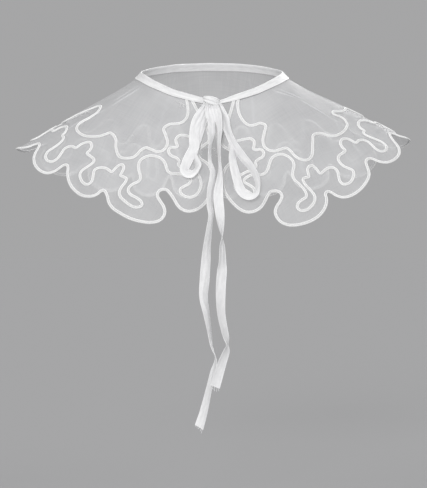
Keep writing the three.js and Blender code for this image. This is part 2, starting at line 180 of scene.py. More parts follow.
def length_along(points):
    """The distance from the start to each point of a line."""
    return np.concatenate([[0], np.cumsum(np.linalg.norm(np.diff(points, axis=0), axis=1))])


def even_steps(line, step, measure=None):
    """The line again with even steps, measured on its own points or on others given for them."""
    along = length_along(line if measure is None else measure)
    places = np.linspace(0, along[-1], max(2, round(along[-1] / step) + 1))
    return np.column_stack([np.interp(places, along, column) for column in np.asarray(line).T])


# %% [markdown]
# How the cloth hangs
#
# Cloth simulation would be the usual way to lay a cape over shoulders, but here the cords have to
# meet the photograph to a millimetre, and a simulated sheet would carry them off. So the cape's form
# is written down: where the neck seam runs, which way the cloth leaves it, and how steeply it falls
# further out. A place on the pattern is two numbers: the degrees round the neck from the centre
# front, and the millimetres down the cloth. The drape turns such places into points in space.

# %% The neck seam and the fall of the cloth
HALF_TURN, FULL_TURN = 180.0, 360.0
MID_OUT, RIM_OUT = 45.0, 130.0
ASKEW, SHOULDER_LEAN = 2.0, 1.5

# degrees round, seam x, y, z, heading, and the slope at the seam, at MID_OUT and at RIM_OUT
SPOKES = np.array([
    [0, 0, -66, -28.5, 0, 56, 60, 66],
    [25, 33, -60, -21.5, 22, 54, 58, 66],
    [45, 54, -46, -12.5, 41, 47, 52, 60],
    [66, 69, -26, -4, 63, 38, 42, 49],
    [90, 75, 0, 1.5, 90, 35, 26, 29],
    [114, 69, 26, 6, 117, 38, 42, 54],
    [135, 54, 43, 10, 139, 50, 56, 66],
    [155, 33, 54, 13, 158, 58, 64, 72],
    [180, 0, 59, 14.5, 180, 62, 68, 74],
], float)


def spokes_at(degrees):
    """The spoke's numbers at any degrees of the right half, on a smooth curve through the rows."""
    flip = np.array([-1, -1, 1, 1, -1, 1, 1, 1])
    before = SPOKES[1] * flip
    after = SPOKES[-2] * flip + np.array([FULL_TURN, 0, 0, 0, FULL_TURN, 0, 0, 0])
    rows = np.vstack([before, SPOKES, after])
    slopes = (rows[2:] - rows[:-2]) / (rows[2:, :1] - rows[:-2, :1])
    degrees = np.asarray(degrees, float)
    i = np.clip(np.searchsorted(SPOKES[:, 0], degrees, side="right") - 1, 0, len(SPOKES) - 2)
    gap = (SPOKES[i + 1, 0] - SPOKES[i, 0])[..., None]
    share = (degrees[..., None] - SPOKES[i, :1]) / gap
    return curve_between(SPOKES[i], SPOKES[i + 1], slopes[i] * gap, slopes[i + 1] * gap, share)


# %% [markdown]
# Folds, creases and a light flutter
#
# Organza is crisp. It falls in wide soft folds that start at the neck, it keeps sharp creases where
# it was folded away, and its free edge flutters a little. A displacement modifier could lift the
# finished mesh, but then the cords would sink into it. Here the lift is part of the drape itself, so
# everything that is sewn to the cloth goes up and down with it.

# %% Lift of the cloth at a place
FOLDS = np.array([  # degrees round, width in degrees, rise in millimetres at the rim
    [34, 7, 1.6], [62, 6, 2.4], [77, 5, -2], [96, 7, 2.6], [118, 7, -2.4], [139, 8, 3], [160, 8, -2],
    [202, 8, 2.6], [226, 8, -2.4], [247, 7, 2.8], [268, 7, -2], [284, 5, 2], [300, 6, -1.8],
    [327, 7, 2],
], float)
CREASES = np.array([  # from degrees and millimetres, to degrees and millimetres, and height
    [298, 3, 288, 44, 0.7], [288, 44, 280, 96, 0.5], [294, 3, 285.5, 36, 0.4],
    [46, 2, 60, 26, 0.7], [60, 26, 68, 64, 0.6], [51, 2, 64, 30, 0.35], [68, 64, 74, 104, 0.4],
    [84, 6, 92, 88, 0.5], [271, 8, 264, 92, 0.5], [150, 4, 156, 100, 0.5], [205, 4, 212, 104, 0.5],
], float)
CREASE_SPREAD, CREASE_FADE = 1.7, 0.08
FLUTTER = [(0.5, 9.0, 31.0, 0.0), (0.4, 5.3, -17.0, 1.0)]  # rise, lengths round and down, and start
PLANE_MM_PER_DEGREE = 2.4


def lift_of(around, out):
    """How far folds, creases and flutter lift the cloth off its smooth form, in millimetres."""
    grow = np.clip(out / RIM_OUT, 0, 1)
    lift = sum(rise * np.exp(-(((around - at) / width) ** 2)) for at, width, rise in FOLDS) * grow
    x, y = around * PLANE_MM_PER_DEGREE, out
    for from_at, from_out, to_at, to_out, height in CREASES:
        start = np.array([from_at * PLANE_MM_PER_DEGREE, from_out])
        way = np.array([to_at * PLANE_MM_PER_DEGREE, to_out]) - start
        share = np.clip(((x - start[0]) * way[0] + (y - start[1]) * way[1]) / (way @ way), 0, 1)
        off = np.hypot(x - start[0] - share * way[0], y - start[1] - share * way[1])
        fade = np.sin(np.pi * (CREASE_FADE + (1 - 2 * CREASE_FADE) * share))
        lift = lift + height * np.exp(-((off / CREASE_SPREAD) ** 2)) * fade
    flutter = sum(rise * np.sin(x / wide + y / deep + start) for rise, wide, deep, start in FLUTTER)
    return lift + flutter * grow**3


# %% [markdown]
# No two halves hang alike
#
# The pattern is the same on both sides, but worn cloth never is: one side has slipped down a little
# and is pulled towards the bow, the other has ridden up. The shift was read at the tips, notches and
# hooks, by laying the even form over the photograph. Each row gives such a place on the
# pattern, and how many of the photograph's pixels it sits to the right and down from the even form.
# Along its own run a line shows no shift, so such a row has 0 there, or what its neighbour has. At 28,
# 38 and 45 millimetres down on the left the bow hides the edge, and the rows keep it hidden. One
# smooth field is put through the rows, so the cloth between them follows.

# %% How the right and the left half have shifted
RIGHT_HANG = [  # degrees from the front, millimetres down, and then pixels right and down
    (16, 1.5, -2.6, 0), (19.4, 1.5, -3, 0), (17, 14, -1.6, 0), (21, 31, 0, 2), (27, 35, 0, 0),
    (28, 47, -0.8, 0), (27.5, 66, -0.4, 0.6), (36, 70, 0, 1.2), (39, 82, -1.3, 2.4), (43, 89, 0, 2.3),
    (49, 82, -2.7, 0), (52, 71, -1.8, 0), (57, 70, 0, 3.4), (61.4, 78.2, 0, 3.9), (66, 81.5, -0.5, 1.3),
    (73.5, 79.3, -3, 0), (6, 48, -2, 2.5), (13.5, 42.2, 0.5, 4.6), (17.2, 43.3, 0.5, 3.2),
    (20.4, 45.3, -1, 3.4), (20.4, 57.8, -0.5, 2.7), (24, 65, 0.4, 1), (19, 77, 1, -0.5),
    (13.8, 81.4, 0.7, 2), (16, 102, 0, 1.9), (3, 85, 1.9, 0), (2.8, 99, 1.7, -0.5), (7, 114, 1, 0),
    (12.3, 122.7, 1.2, 2.3), (17.3, 119, 3, 3.8), (21, 108.5, 3, 4), (25, 106, 2.2, 3.4),
    (26.4, 114, 3.6, 2.6), (22.9, 128, 3, 1), (24.3, 139.5, 2.8, 1.8), (28, 144, 1, 4.5),
    (33, 145, 1.2, 7.2), (39, 143.5, 3.5, 5), (43.5, 138, 0, 1.5), (45.5, 129.5, -4, 3.5),
    (47.2, 126.6, -3.8, 6.5), (50, 135, -3, 7), (53, 140.2, -1, 5), (56, 140.5, 1, 1.9),
    (60.3, 135.3, 0, 0), (63, 126, -2.8, 1.6), (65.8, 116.6, 0, 4.1), (69, 127, 0, 3.1),
    (72, 135, -0.5, 1), (78.4, 134.5, -2, 0), (81, 126, -3.2, 1.5), (22, 88, 0.4, 1.9),
    (25.5, 79, 1.3, 0.3), (32, 74, 0, 1), (37, 87, -2, 0.8), (35, 103, -1.4, 0.7), (37.4, 118, -1.3, 2.5),
    (33, 128, 1.4, 2.8), (35, 136, 1.2, 2.9), (40, 127, 0, 3.8), (40, 115, -3.5, 4.8),
    (42, 103, -2.6, 3.8), (45.1, 96.4, -2, 4.1), (47.2, 105.6, -2, 5.8), (52, 105.5, -1.7, 4.1),
    (53.2, 119, -2.9, 3.9), (54.5, 129, -3, 4.2), (58, 121, -2, 5), (56.5, 103, -2.4, 5.8), (61, 96, 0, 6),
    (61.5, 88, -1.8, 3.5), (65, 89, -1.4, 2.2), (67.6, 98.2, -1.8, 2.4), (71.5, 103, -0.7, 0.6),
    (72.3, 119, -0.6, 2.1), (75.5, 122, 0.6, 1.2), (76.5, 112, 0, 0.8), (75.5, 98, -1.9, 1.8),
]
LEFT_HANG = [
    (16, 1.5, -0.4, 0), (19.4, 1.5, -1.6, 0), (17, 12, -2.1, 0), (18.2, 27, -2, -1.7), (24, 33, 0, -1.8),
    (29.5, 40, -1.3, -0.4), (26.4, 53.5, 0.7, 0), (28, 67, 0, -2), (33, 69.3, 0, -2.9), (37, 73, 0, -3.5),
    (40.2, 86, 0, -5.2), (43, 89, 0, -5), (47.2, 87, -0.5, -1.9), (50, 78, -1.6, 0), (54, 69, -1.2, -2),
    (58, 72, 0, -4), (61.4, 78.2, 0, -3.9), (64.6, 81, 0, -2.4), (68, 82, -0.8, -0.6), (72, 80.5, -3.2, 0),
    (75, 73, -3.2, 0), (6.6, 28, 1.8, -0.3), (4.8, 38, 2, -0.8), (4.8, 45, 1.6, -1.4), (7, 51, 0.5, -1.3),
    (9.8, 60, 0.6, -0.5), (6.2, 70.5, 1.3, -3.3), (4, 75, 1, -3.8), (13.5, 42.2, -0.5, -1),
    (17.2, 43.3, -0.5, -2), (21.5, 51, 0, -1.9), (20.2, 57.8, 0, -2), (23, 61, -0.5, -3.3),
    (23.9, 68.3, 0, -3), (19.5, 74.5, 1.5, -5), (8.5, 93, 2.7, -1.5), (12.5, 107.6, 1.9, 0),
    (16.6, 102, 1.2, 0), (13.2, 91, 2, 0), (21, 88, 0, -2.4), (24.5, 83, 1.2, -2.2), (27, 75.5, 1.3, -1.6),
    (32, 74.2, 0, -1.2), (36.4, 81.6, -0.2, -1), (36.8, 92.5, 0.9, -1), (35, 100, 2, -0.5),
    (34.9, 106.5, -1.2, -2.3), (37, 114, -0.6, -3.5), (37.3, 121, 0.6, -4), (33, 127.5, 2.3, -5),
    (33.5, 135.5, 2.2, -5.5), (38, 133, 0.3, -5.5), (40.3, 125, -0.8, -3.5), (39.8, 115, -2.2, -1.8),
    (42, 104, -2, -3.5), (43.5, 96.5, -0.5, -2.7), (47.2, 105.6, -0.8, -1.9), (51.5, 105.5, 0, -2.7),
    (53.3, 112, -1.5, -3.7), (53, 123, -0.9, -4.3), (54.5, 129, 0.3, -3.7), (57.5, 125, -1.8, -2.7),
    (58, 116, -3.4, -3), (56.4, 105, -3.5, -1), (57.9, 97.6, -0.3, 0.3), (61.1, 95.8, -3.4, -1.4),
    (61.4, 88.6, -2, -0.5), (65, 89, 0, -3), (67.6, 98.2, -0.8, -0.5), (70.5, 100.5, -0.3, -1.7),
    (72, 113, -0.6, 1.5), (73.5, 121.5, -1, 3.1), (76, 118, 0, 1.6), (76.3, 104, -0.3, 1.3),
    (4.5, 106.5, 1.5, 0.5), (9.5, 119.5, 0.7, 0.7), (13, 122.7, 0.6, -1), (17.3, 119, 1.8, -1.2),
    (22, 107, 1.7, -1), (26, 108, 1.8, -1.2), (26.4, 115, 2.5, -1), (23.5, 125, 3.3, -1),
    (23, 134.5, 2.7, -1.6), (28, 144, 1, -2.6), (34, 145.3, 0, -2.7), (39, 143.5, 1, -2.8),
    (43, 138, 0.6, -1.4), (45.5, 129.5, -0.7, -1), (47.2, 126.6, 0, -2.4), (50, 135, 1, -2.8),
    (54, 140.6, 1, -3.2), (57, 139.5, 1.3, -2), (60.3, 135.3, 1, -0.6), (63, 127, -1, 0),
    (65, 118, -1.7, 0), (68, 121, 0, 0.3), (70, 131, 0, 1.3), (73, 136.5, 0, 1), (76, 137.2, 2, -0.3),
    (79, 133, 3.3, 0), (82, 121, 2, 2),
]
AT_REST_BEHIND = [(degrees, out, 0, 0) for degrees in (92, 108) for out in (0, 40, 80, 120)]
MM_PER_PIXEL = 0.97
HANG_REACH, HANG_EASE = 17.0, 0.06
CLOTH_DEEP = 150

hang_rows = np.array([*RIGHT_HANG, *AT_REST_BEHIND,
                      *((FULL_TURN - at, *rest) for at, *rest in LEFT_HANG + AT_REST_BEHIND)])
hang_places = hang_rows[:, :2] * (PLANE_MM_PER_DEGREE, 1)
hang_read = hang_rows[:, 2:] * (MM_PER_PIXEL, -MM_PER_PIXEL)


def nearness(places):
    """How near each place of the flat pattern is to each row's place, from 0 to 1."""
    apart = ((places[:, None] - hang_places[None]) ** 2).sum(-1)
    return np.exp(-apart / HANG_REACH**2)


eased = nearness(hang_places) + HANG_EASE * np.eye(len(hang_places))
hang_pull = np.linalg.solve(eased, hang_read)


def hang_shift(around, out):
    """How far the cloth has shifted to the right and up at places on the pattern, in millimetres."""
    turned = around % FULL_TURN
    places = np.column_stack([(turned * PLANE_MM_PER_DEGREE).ravel(), out.ravel()])
    return (nearness(places) @ hang_pull).reshape(*out.shape, 2)


left_over = np.abs(hang_shift(*hang_rows[:, :2].T) - hang_read).mean()
everywhere = np.meshgrid(np.arange(0, FULL_TURN, 2.0), np.arange(0, CLOTH_DEEP, 4.0))
largest = np.abs(hang_shift(*everywhere)).max()
print(f"{len(hang_rows)} shifts met within {left_over:.1f} mm, at most {largest:.1f} mm of shift")

# %% [markdown]
# From the pattern to the shoulders
#
# A place on the pattern is carried out along its spoke in short steps, each at the slope that the
# cloth has there. Then come the lift of the folds and the shift of its half. A lattice modifier could
# bend a flat sheet too, but this way a cord can ask for any place, and for the side that faces out.

# %% Drape a place on the pattern
DRAPE_STEPS, NORMAL_NUDGE, RIM_POINTS = 12, 0.4, 721


def drape(around, out, off=0.0):
    """Points in space, in millimetres, of places on the pattern, lifted off the cloth by "off"."""
    around, out = np.broadcast_arrays(np.asarray(around, float), np.asarray(out, float))
    turned = (around + ASKEW) % FULL_TURN
    side = np.where(turned <= HALF_TURN, 1.0, -1.0)
    _, x, y, z, heading, seam, mid, rim = np.moveaxis(
        spokes_at(np.where(side > 0, turned, FULL_TURN - turned)), -1, 0)
    heading = np.radians(heading)
    lean = SHOULDER_LEAN * side * np.sin(heading)
    run, drop = np.zeros_like(out), np.zeros_like(out)
    for i in range(DRAPE_STEPS):
        here = out * (i + 0.5) / DRAPE_STEPS
        first = np.minimum(here / MID_OUT, 1)
        second = np.maximum(0, (here - MID_OUT) / (RIM_OUT - MID_OUT))
        slope = np.radians(seam + (mid - seam) * first + (rim - mid) * second - lean)
        run = run + np.cos(slope) * out / DRAPE_STEPS
        drop = drop + np.sin(slope) * out / DRAPE_STEPS
    off = off + lift_of(around, out)
    run = run + np.sin(slope) * off
    right, up = np.moveaxis(hang_shift(around, out), -1, 0)
    return np.stack([side * (x + run * np.sin(heading)) + right, y - run * np.cos(heading),
                     z - drop + np.cos(slope) * off + up], -1)


def outward(around, out):
    """The direction that the cloth's outer side faces."""
    along = drape(around + NORMAL_NUDGE, out) - drape(around - NORMAL_NUDGE, out)
    down = drape(around, out + NORMAL_NUDGE) - drape(around, out - NORMAL_NUDGE)
    return unit(np.cross(down, along))


around_rim = np.linspace(0, FULL_TURN, RIM_POINTS)
seam_round = length_along(drape(around_rim, 0))[-1]
rim_round = length_along(drape(around_rim, RIM_OUT))[-1]
print(f"the seam is {seam_round:.0f} mm round and the cloth {rim_round:.0f} mm at {RIM_OUT:.0f} mm down")

# %% [markdown]
# The three lines of the pattern
#
# The scalloped edge and the two winding cords were drawn on the flat pattern before the cape was
# sewn. They could be drawn as curve objects by hand, but a short list of bends is easier to read and
# to change. Each list gives the right half, from the centre front to the shoulder. A simple repeat
# carries it on round the back, and the left half is its mirror image.

# %% Bends of the edge, the plain wave and the clouds
EDGE_BENDS = [
    (16, -0.8), (12, 9), (9, 18), (6.6, 28), (4.8, 38), (4.6, 45.5), (6.6, 50), (9, 54.5), (9.8, 60),
    (8.6, 66), (6.2, 70.5), (4, 75), (2.5, 82), (2.2, 91), (2.8, 99), (4.5, 106.5), (6.8, 113.5),
    (9.5, 119.5), (12.3, 122.7), (15, 122.3), (17.3, 119), (19.2, 113.5), (21, 108.5), (22.8, 105.2),
    (24.8, 106), (26.4, 109.5), (26.6, 114), (25.3, 118.8), (23.8, 123), (22.8, 129), (23, 134.5),
    (24.3, 139.5), (27, 143), (31, 145), (35, 145.3), (39, 143.5), (42.3, 140), (44.3, 135), (45.5, 129.5),
    (47.2, 126.6), (48.6, 129.3), (49.5, 133.5), (51, 137.7), (53, 140.2), (55.5, 140.7), (58, 138.8),
    (60.3, 135.3), (62.3, 129.5), (63.7, 123.5), (64.6, 118.8), (65.8, 116.6), (67.3, 118.4), (68.2, 122),
    (69.3, 128), (71, 133.5), (73.3, 136.8), (76, 137.2), (78.4, 134.5), (80.3, 129.5), (81.6, 123.5),
    (82.8, 118.8),
]
SCALLOP = [
    (0, 117.5), (0.08, 122), (0.12, 128.5), (0.21, 134.5), (0.35, 138.2), (0.5, 139.3), (0.65, 138.2),
    (0.79, 134.5), (0.88, 128.5), (0.92, 122),
]
SCALLOPS_FROM, SCALLOP_COUNT = 84, 5
WAVE_BENDS = [
    (19.4, -0.8), (17.3, 8), (16.4, 15), (16.6, 21), (18.2, 27), (20.8, 31.2), (24, 33), (27.2, 34.6),
    (29.5, 40), (28, 46.5), (26.4, 53.5), (26.1, 60.5), (27.5, 66), (29.8, 68.8), (33, 69.3), (35.8, 70),
    (37.6, 74), (38.8, 80.5), (40.2, 86), (42.3, 89), (44.9, 89.2), (47.2, 87), (49, 82), (50.6, 76.5),
    (52, 71), (54, 69), (56.9, 69.7), (58.8, 73.7), (61.4, 78.2), (64.6, 81), (68, 82), (71, 81.2),
    (73.5, 79.3), (75, 75.5), (75.2, 70), (74.4, 63), (74.2, 56), (75.4, 50.5), (77.8, 47), (81, 48.5),
    (84.6, 58),
]
LAST_SHARED_BEND = (73.5, 79.3)
RIGHT_WAVE_TOP = [  # on the right the last wave stays lower and leans towards the front
    (75, 73.5), (74.3, 68), (72.7, 63.5), (72.3, 60.3), (74, 58.8), (77, 61.5), (80, 65), (84.6, 66),
]
WAVE = [
    (0.1, 64.5), (0.19, 69), (0.25, 76), (0.33, 83), (0.44, 86.5), (0.56, 86.5), (0.67, 82.5), (0.74, 75),
    (0.81, 68), (0.9, 64.5), (1, 63.5),
]
CLOUD_BENDS = [
    (9.4, 54.4), (8.5, 49), (8.8, 44.8), (10.6, 42.4), (13.5, 42.2), (17.2, 43.3), (20.4, 45.3),
    (21.9, 49.3), (21.2, 53.8), (20.2, 57.8), (21.6, 60), (23.4, 61), (24.3, 64), (23.9, 68.3),
    (22.4, 71.6), (20.2, 73.2), (18.8, 75.6), (18.8, 79.2), (17, 81.3), (13.8, 81.4), (10.9, 83.2),
    (9, 87), (8.2, 93), (8.7, 99), (10.3, 104.5), (12.5, 107.6), (14.8, 107.2), (16.5, 104.5),
    (16.7, 100.2), (15.2, 96.5), (13.4, 93), (12.8, 89.8), (14, 87.2), (16.4, 86.2), (18.8, 87), (21, 88),
    (22.9, 87), (24.2, 84), (25.2, 80.2), (26.4, 76.6), (28.2, 74.2), (30.4, 73.6), (32.9, 74.8),
    (34.9, 77.8), (36.4, 81.6), (37.2, 87), (36.8, 92.5), (35.4, 98), (34.6, 102.5), (34.9, 106.5),
    (36.2, 111), (37.3, 116), (37.4, 121), (36.2, 125.2), (34, 126.6), (32.4, 128.3), (31.9, 131.2),
    (32.7, 134.6), (34.4, 136.2), (36.6, 134.9), (38.8, 131.4), (40.2, 127), (40.6, 121.8), (40.1, 116.5),
    (39.2, 111.5), (39.1, 107.6), (40.6, 106.2), (42.1, 105.7), (42.1, 101.6), (42.4, 98), (43.5, 96),
    (45.1, 96.4), (46.3, 100), (47.2, 105.6), (48.7, 105.2), (50.2, 104.8), (51.9, 105.8), (53.1, 108.5),
    (53.5, 112.5), (53.1, 118), (52.9, 123), (53.5, 127.3), (54.9, 129.3), (56.6, 127.6), (57.9, 123.3),
    (58.3, 119), (57.7, 114.5), (56.8, 110), (56.4, 105), (56.7, 100.5), (57.9, 97.6), (59.6, 96.6),
    (61.1, 95.8), (61, 92), (61.4, 88.6), (63, 86.6), (65, 88.6), (66.5, 92.5), (67.6, 98.2), (69.4, 98.8),
    (71.1, 101.3), (71.9, 105), (71.8, 110), (71.8, 115), (72.6, 120), (74.4, 122.6), (76, 121),
    (76.7, 116), (76.3, 110.5), (75.6, 104), (75.4, 98.5), (76.1, 95.4), (77.6, 94.4), (77.7, 90),
    (78.6, 86.6), (80.5, 85),
]
CLOUD_AND_HOOK = [
    (0.1, 87), (0.18, 91.5), (0.24, 98.2), (0.33, 98.8), (0.42, 101.3), (0.46, 105), (0.46, 110),
    (0.46, 115), (0.5, 120), (0.6, 122.6), (0.69, 121), (0.73, 116), (0.71, 110.5), (0.67, 104),
    (0.66, 98.5), (0.7, 95.4), (0.8, 94.4), (0.81, 90), (0.87, 86.6), (1, 85),
]
BACK_REPEATS = 5

# %% [markdown]
# Round the back and over to the left
#
# Behind the shoulders the pattern is plain: one scallop, one wave and one cloud repeat up to the
# middle of the back. A Mirror modifier could make the left half, but it would leave a join in every
# cord there. Here the bends themselves are repeated and mirrored, so each line stays in one run.

# %% Both halves of a line, joined at the middle of the back
def both_halves(bends, repeat, start, count, right_bends=None):
    """A front row of bends, carried on round the back by a repeat, and then mirrored."""
    wide = (HALF_TURN - start) / count
    back = [(start + (k + share) * wide, out) for k in range(count) for share, out in repeat]
    right = np.array([*(right_bends or bends), *back], float)
    left = np.array([*bends, *back], float)
    left = left[left[:, 0] < HALF_TURN - TINY][::-1] * (-1, 1) + (FULL_TURN, 0)
    return np.vstack([right, left])


def pattern_line(bends, step):
    """A smooth line through the bends in even steps of real length, as places on the pattern."""
    plane = smooth_line(bends * (PLANE_MM_PER_DEGREE, 1), pieces=10)
    places = plane / (PLANE_MM_PER_DEGREE, 1)
    return even_steps(places, step, drape(places[:, 0], places[:, 1]))


edge_bends = both_halves(EDGE_BENDS, SCALLOP, SCALLOPS_FROM, SCALLOP_COUNT)
edge_bends = np.vstack([edge_bends[edge_bends[:, 0] < HALF_TURN], [[HALF_TURN, SCALLOP[0][1]]],
                        edge_bends[edge_bends[:, 0] > HALF_TURN]])
right_wave = WAVE_BENDS[:WAVE_BENDS.index(LAST_SHARED_BEND) + 1] + RIGHT_WAVE_TOP
wave_bends = both_halves(WAVE_BENDS, WAVE, WAVE_BENDS[-1][0], BACK_REPEATS, right_wave)
cloud_bends = both_halves(CLOUD_BENDS, CLOUD_AND_HOOK, CLOUD_BENDS[-1][0], BACK_REPEATS)
for name, bends in (("edge", edge_bends), ("wave", wave_bends), ("clouds", cloud_bends)):
    print(name, len(bends), "bends,", round(length_along(drape(*bends.T))[-1]), "mm by straight lines")

# %% [markdown]
# From numbers to a piece
#
# Every piece below ends as a mesh: corners, faces, and a flat map of real millimetres that the
# weaves and ribs are drawn on. Blender's bmesh could add the faces one by one; handing the whole
# list over at once is shorter and much faster. Each new piece also moves with the collar's one body,
# takes the material of its finish and, if it replaces a solid of the frame, hides that solid.

# %% Make a mesh piece
def new_piece(name, corners, faces, flat_map, finish, instead_of=None, crisp=50):
    """A mesh from corners in millimetres, with its map in millimetres too."""
    mesh = bpy.data.meshes.new(name)
    mesh.from_pydata((np.reshape(corners, (-1, 3)) * MM).tolist(), [], [tuple(map(int, f)) for f in faces])
    mesh.polygons.foreach_set("use_smooth", [True] * len(mesh.polygons))
    mesh.set_sharp_from_angle(angle=math.radians(crisp))
    corner_of_loop = np.empty(len(mesh.loops), int)
    mesh.loops.foreach_get("vertex_index", corner_of_loop)
    layer = mesh.uv_layers.new(name="millimetres")
    layer.data.foreach_set("uv", np.reshape(flat_map, (-1, 2))[corner_of_loop].ravel())
    mesh.materials.append(finish.material)
    piece = bpy.data.objects.new(name, mesh)
    scene.collection.objects.link(piece)
    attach(piece, "root")
    if instead_of:
        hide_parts(instead_of)
    print(f"{name}: {len(mesh.polygons)} faces")
    return piece


def tube_faces(rings, sides, looped=False, turned=False):
    """Faces that join rings of corners into one skin, and then two flat ends unless it is looped.

    Turned is for sections whose corners run the other way round, as the ribbons' do."""
    ring, side = np.meshgrid(np.arange(rings if looped else rings - 1), np.arange(sides), indexing="ij")
    here, beside = ring * sides + side, ring * sides + (side + 1) % sides
    wrap = rings * sides if looped else np.inf
    faces = np.stack([here, beside, (beside + sides) % wrap, (here + sides) % wrap], -1)
    faces = faces.reshape(-1, 4).astype(int).tolist()
    if not looped:
        faces.append(list(range(sides))[::-1])
        faces.append(list(range((rings - 1) * sides, rings * sides)))
    return [face[::-1] for face in faces] if turned else faces


def swept(points, sides, ups, profile):
    """Rings of a flat profile (across, up), or of one profile for each point, along a line."""
    profile = np.broadcast_to(profile, (len(points), *np.shape(profile)[-2:]))
    return points[:, None] + sides[:, None] * profile[..., :1] + ups[:, None] * profile[..., 1:]


def pairs(first, second):
    """Two arrays, stretched to one shape, as pairs of numbers."""
    return np.stack(np.broadcast_arrays(first, second), -1)


def joined(skins):
    """The corners, faces and map of one piece, from those of several skins."""
    corners, faces, flat_map = [], [], []
    for rings, skin, flat in skins:
        first = sum(map(len, corners))
        corners.append(rings.reshape(-1, 3))
        faces += [[corner + first for corner in face] for face in skin]
        flat_map.append(flat.reshape(-1, 2))
    return np.vstack(corners), faces, np.vstack(flat_map)


# %% [markdown]
# Finishes
#
# Each finish is built from nodes, in real millimetres, on the map that every piece carries. A photo
# of cloth could be wrapped round instead, but it would blur close up and repeat. The helper below
# makes a material with one shader, and gives two numbers for each point on it: how many millimetres
# it lies along the thread's run, and how many across.

# %% A material with its along and across
class Finish:
    """A material whose nodes can be added in one line each, and the name of its slot, which is kept but
    not used.
    """

    def __init__(self, name, slot, **sockets):
        self.slot = slot
        self.material = bpy.data.materials.new(name)
        self.material.use_nodes = True
        self.nodes = self.material.node_tree.nodes
        self.links = self.material.node_tree.links
        self.shader = self.nodes["Principled BSDF"]
        for socket, value in sockets.items():
            self.shader.inputs[socket.replace("_", " ")].default_value = value
        self.place = self.nodes.new("ShaderNodeUVMap")
        self.place.uv_map = "millimetres"
        split = self.nodes.new("ShaderNodeSeparateXYZ")
        self.links.new(self.place.outputs["UV"], split.inputs[0])
        self.along, self.across = split.outputs["X"], split.outputs["Y"]

    def math(self, operation, first, second=0.0, third=0.0):
        """A math node whose inputs are numbers or other nodes' outputs."""
        node = self.nodes.new("ShaderNodeMath")
        node.operation = operation
        for socket, value in zip(node.inputs, (first, second, third)):
            if isinstance(value, (int, float)):
                socket.default_value = value
            else:
                self.links.new(value, socket)
        return node.outputs[0]

    def wave(self, distance, spacing):
        """A row of soft ridges, 0 to 1, one for each spacing of the distance."""
        turn = self.math("MULTIPLY", distance, 2 * math.pi / spacing)
        return self.math("MULTIPLY_ADD", self.math("SINE", turn), 0.5, 0.5)

    def noise(self, stretch, size):
        """Soft noise, 0 to 1, whose blots are size wide, and narrower by the numbers of stretch."""
        mapping = self.nodes.new("ShaderNodeMapping")
        mapping.inputs["Scale"].default_value = (stretch[0] / size, stretch[1] / size, 1)
        self.links.new(self.place.outputs["UV"], mapping.inputs["Vector"])
        node = self.nodes.new("ShaderNodeTexNoise")
        node.inputs["Scale"].default_value = 1.0
        node.inputs["Detail"].default_value = 2.0
        self.links.new(mapping.outputs[0], node.inputs["Vector"])
        return node.outputs["Fac"]

    def colour(self, share, low, high, low_at, high_at):
        """Colours the shader from low to high as the share goes from low_at to high_at."""
        ramp = self.nodes.new("ShaderNodeValToRGB")
        ramp.color_ramp.elements[0].position, ramp.color_ramp.elements[0].color = low_at, (*low, 1)
        ramp.color_ramp.elements[1].position, ramp.color_ramp.elements[1].color = high_at, (*high, 1)
        self.links.new(share, ramp.inputs["Fac"])
        self.links.new(ramp.outputs["Color"], self.shader.inputs["Base Color"])

    def bump(self, height, strength, distance):
        """Bends the light as if the surface rose by the height, times distance in metres."""
        node = self.nodes.new("ShaderNodeBump")
        node.inputs["Strength"].default_value = strength
        node.inputs["Distance"].default_value = distance
        self.links.new(height, node.inputs["Height"])
        self.links.new(node.outputs["Normal"], self.shader.inputs["Normal"])


# %% [markdown]
# Organza
#
# Organza is a plain weave of fine twisted filaments with open gaps, so more light goes through it
# than stops on it. It is crisp and a little shiny. Its sheerness could be cut as real holes, but at
# three threads to the millimetre that is millions of faces. One even see-through share does the same
# to the eye. The threads give a fine bump, and faint streaks in both directions are the slubs.

# %% Organza finish
THREAD_GAP = 0.36

organza = Finish("organza", slot="organza", Roughness=0.42, Alpha=0.31,
                 Sheen_Weight=0.25, Sheen_Roughness=0.4)
warp, weft = organza.wave(organza.along, THREAD_GAP), organza.wave(organza.across, THREAD_GAP)
weave = organza.math("MAXIMUM", warp, weft)
slubs = organza.math("ADD", organza.noise((1, 0.03), size=1.4), organza.noise((0.03, 1), size=1.7))
patches = organza.math("MULTIPLY_ADD", organza.noise((1, 1), size=34.0), 0.9, -0.45)
shade = organza.math("MULTIPLY_ADD", weave, 0.16, organza.math("MULTIPLY_ADD", slubs, 0.36, patches))
organza.colour(shade, low=(0.66, 0.665, 0.68), high=(0.97, 0.97, 0.98), low_at=0.1, high_at=0.85)
relief = organza.math("ADD", weave, organza.math("MULTIPLY", slubs, 0.5))
organza.bump(relief, strength=0.35, distance=0.00012)
print("organza:", len(organza.nodes), "nodes")

# %% [markdown]
# The cape
#
# The cape is one sheet. It could be cut from a grid with a boolean, but that leaves slivers along
# the scallops. Instead the edge line and a field of inner points are joined by a Delaunay
# triangulation, which makes even triangles right up to the curves. Then the flat sheet is draped. Its
# top edge reaches up into the fold of the neck ribbon, where it is sewn in.

# %% Lay out the edge and the inner points
CLOTH_STEP, ROW_SHARE = 2.6, 0.87
EDGE_STEP, EDGE_MARGIN = 1.3, 1.1
SEWN_IN, SEAM_POINTS = 3.5, 240

edge_line = pattern_line(edge_bends, EDGE_STEP)
seam_fill = pairs(np.linspace(edge_line[-1, 0], edge_line[0, 0], SEAM_POINTS), -SEWN_IN)
outline = np.vstack([edge_line, seam_fill]) * (PLANE_MM_PER_DEGREE, 1)


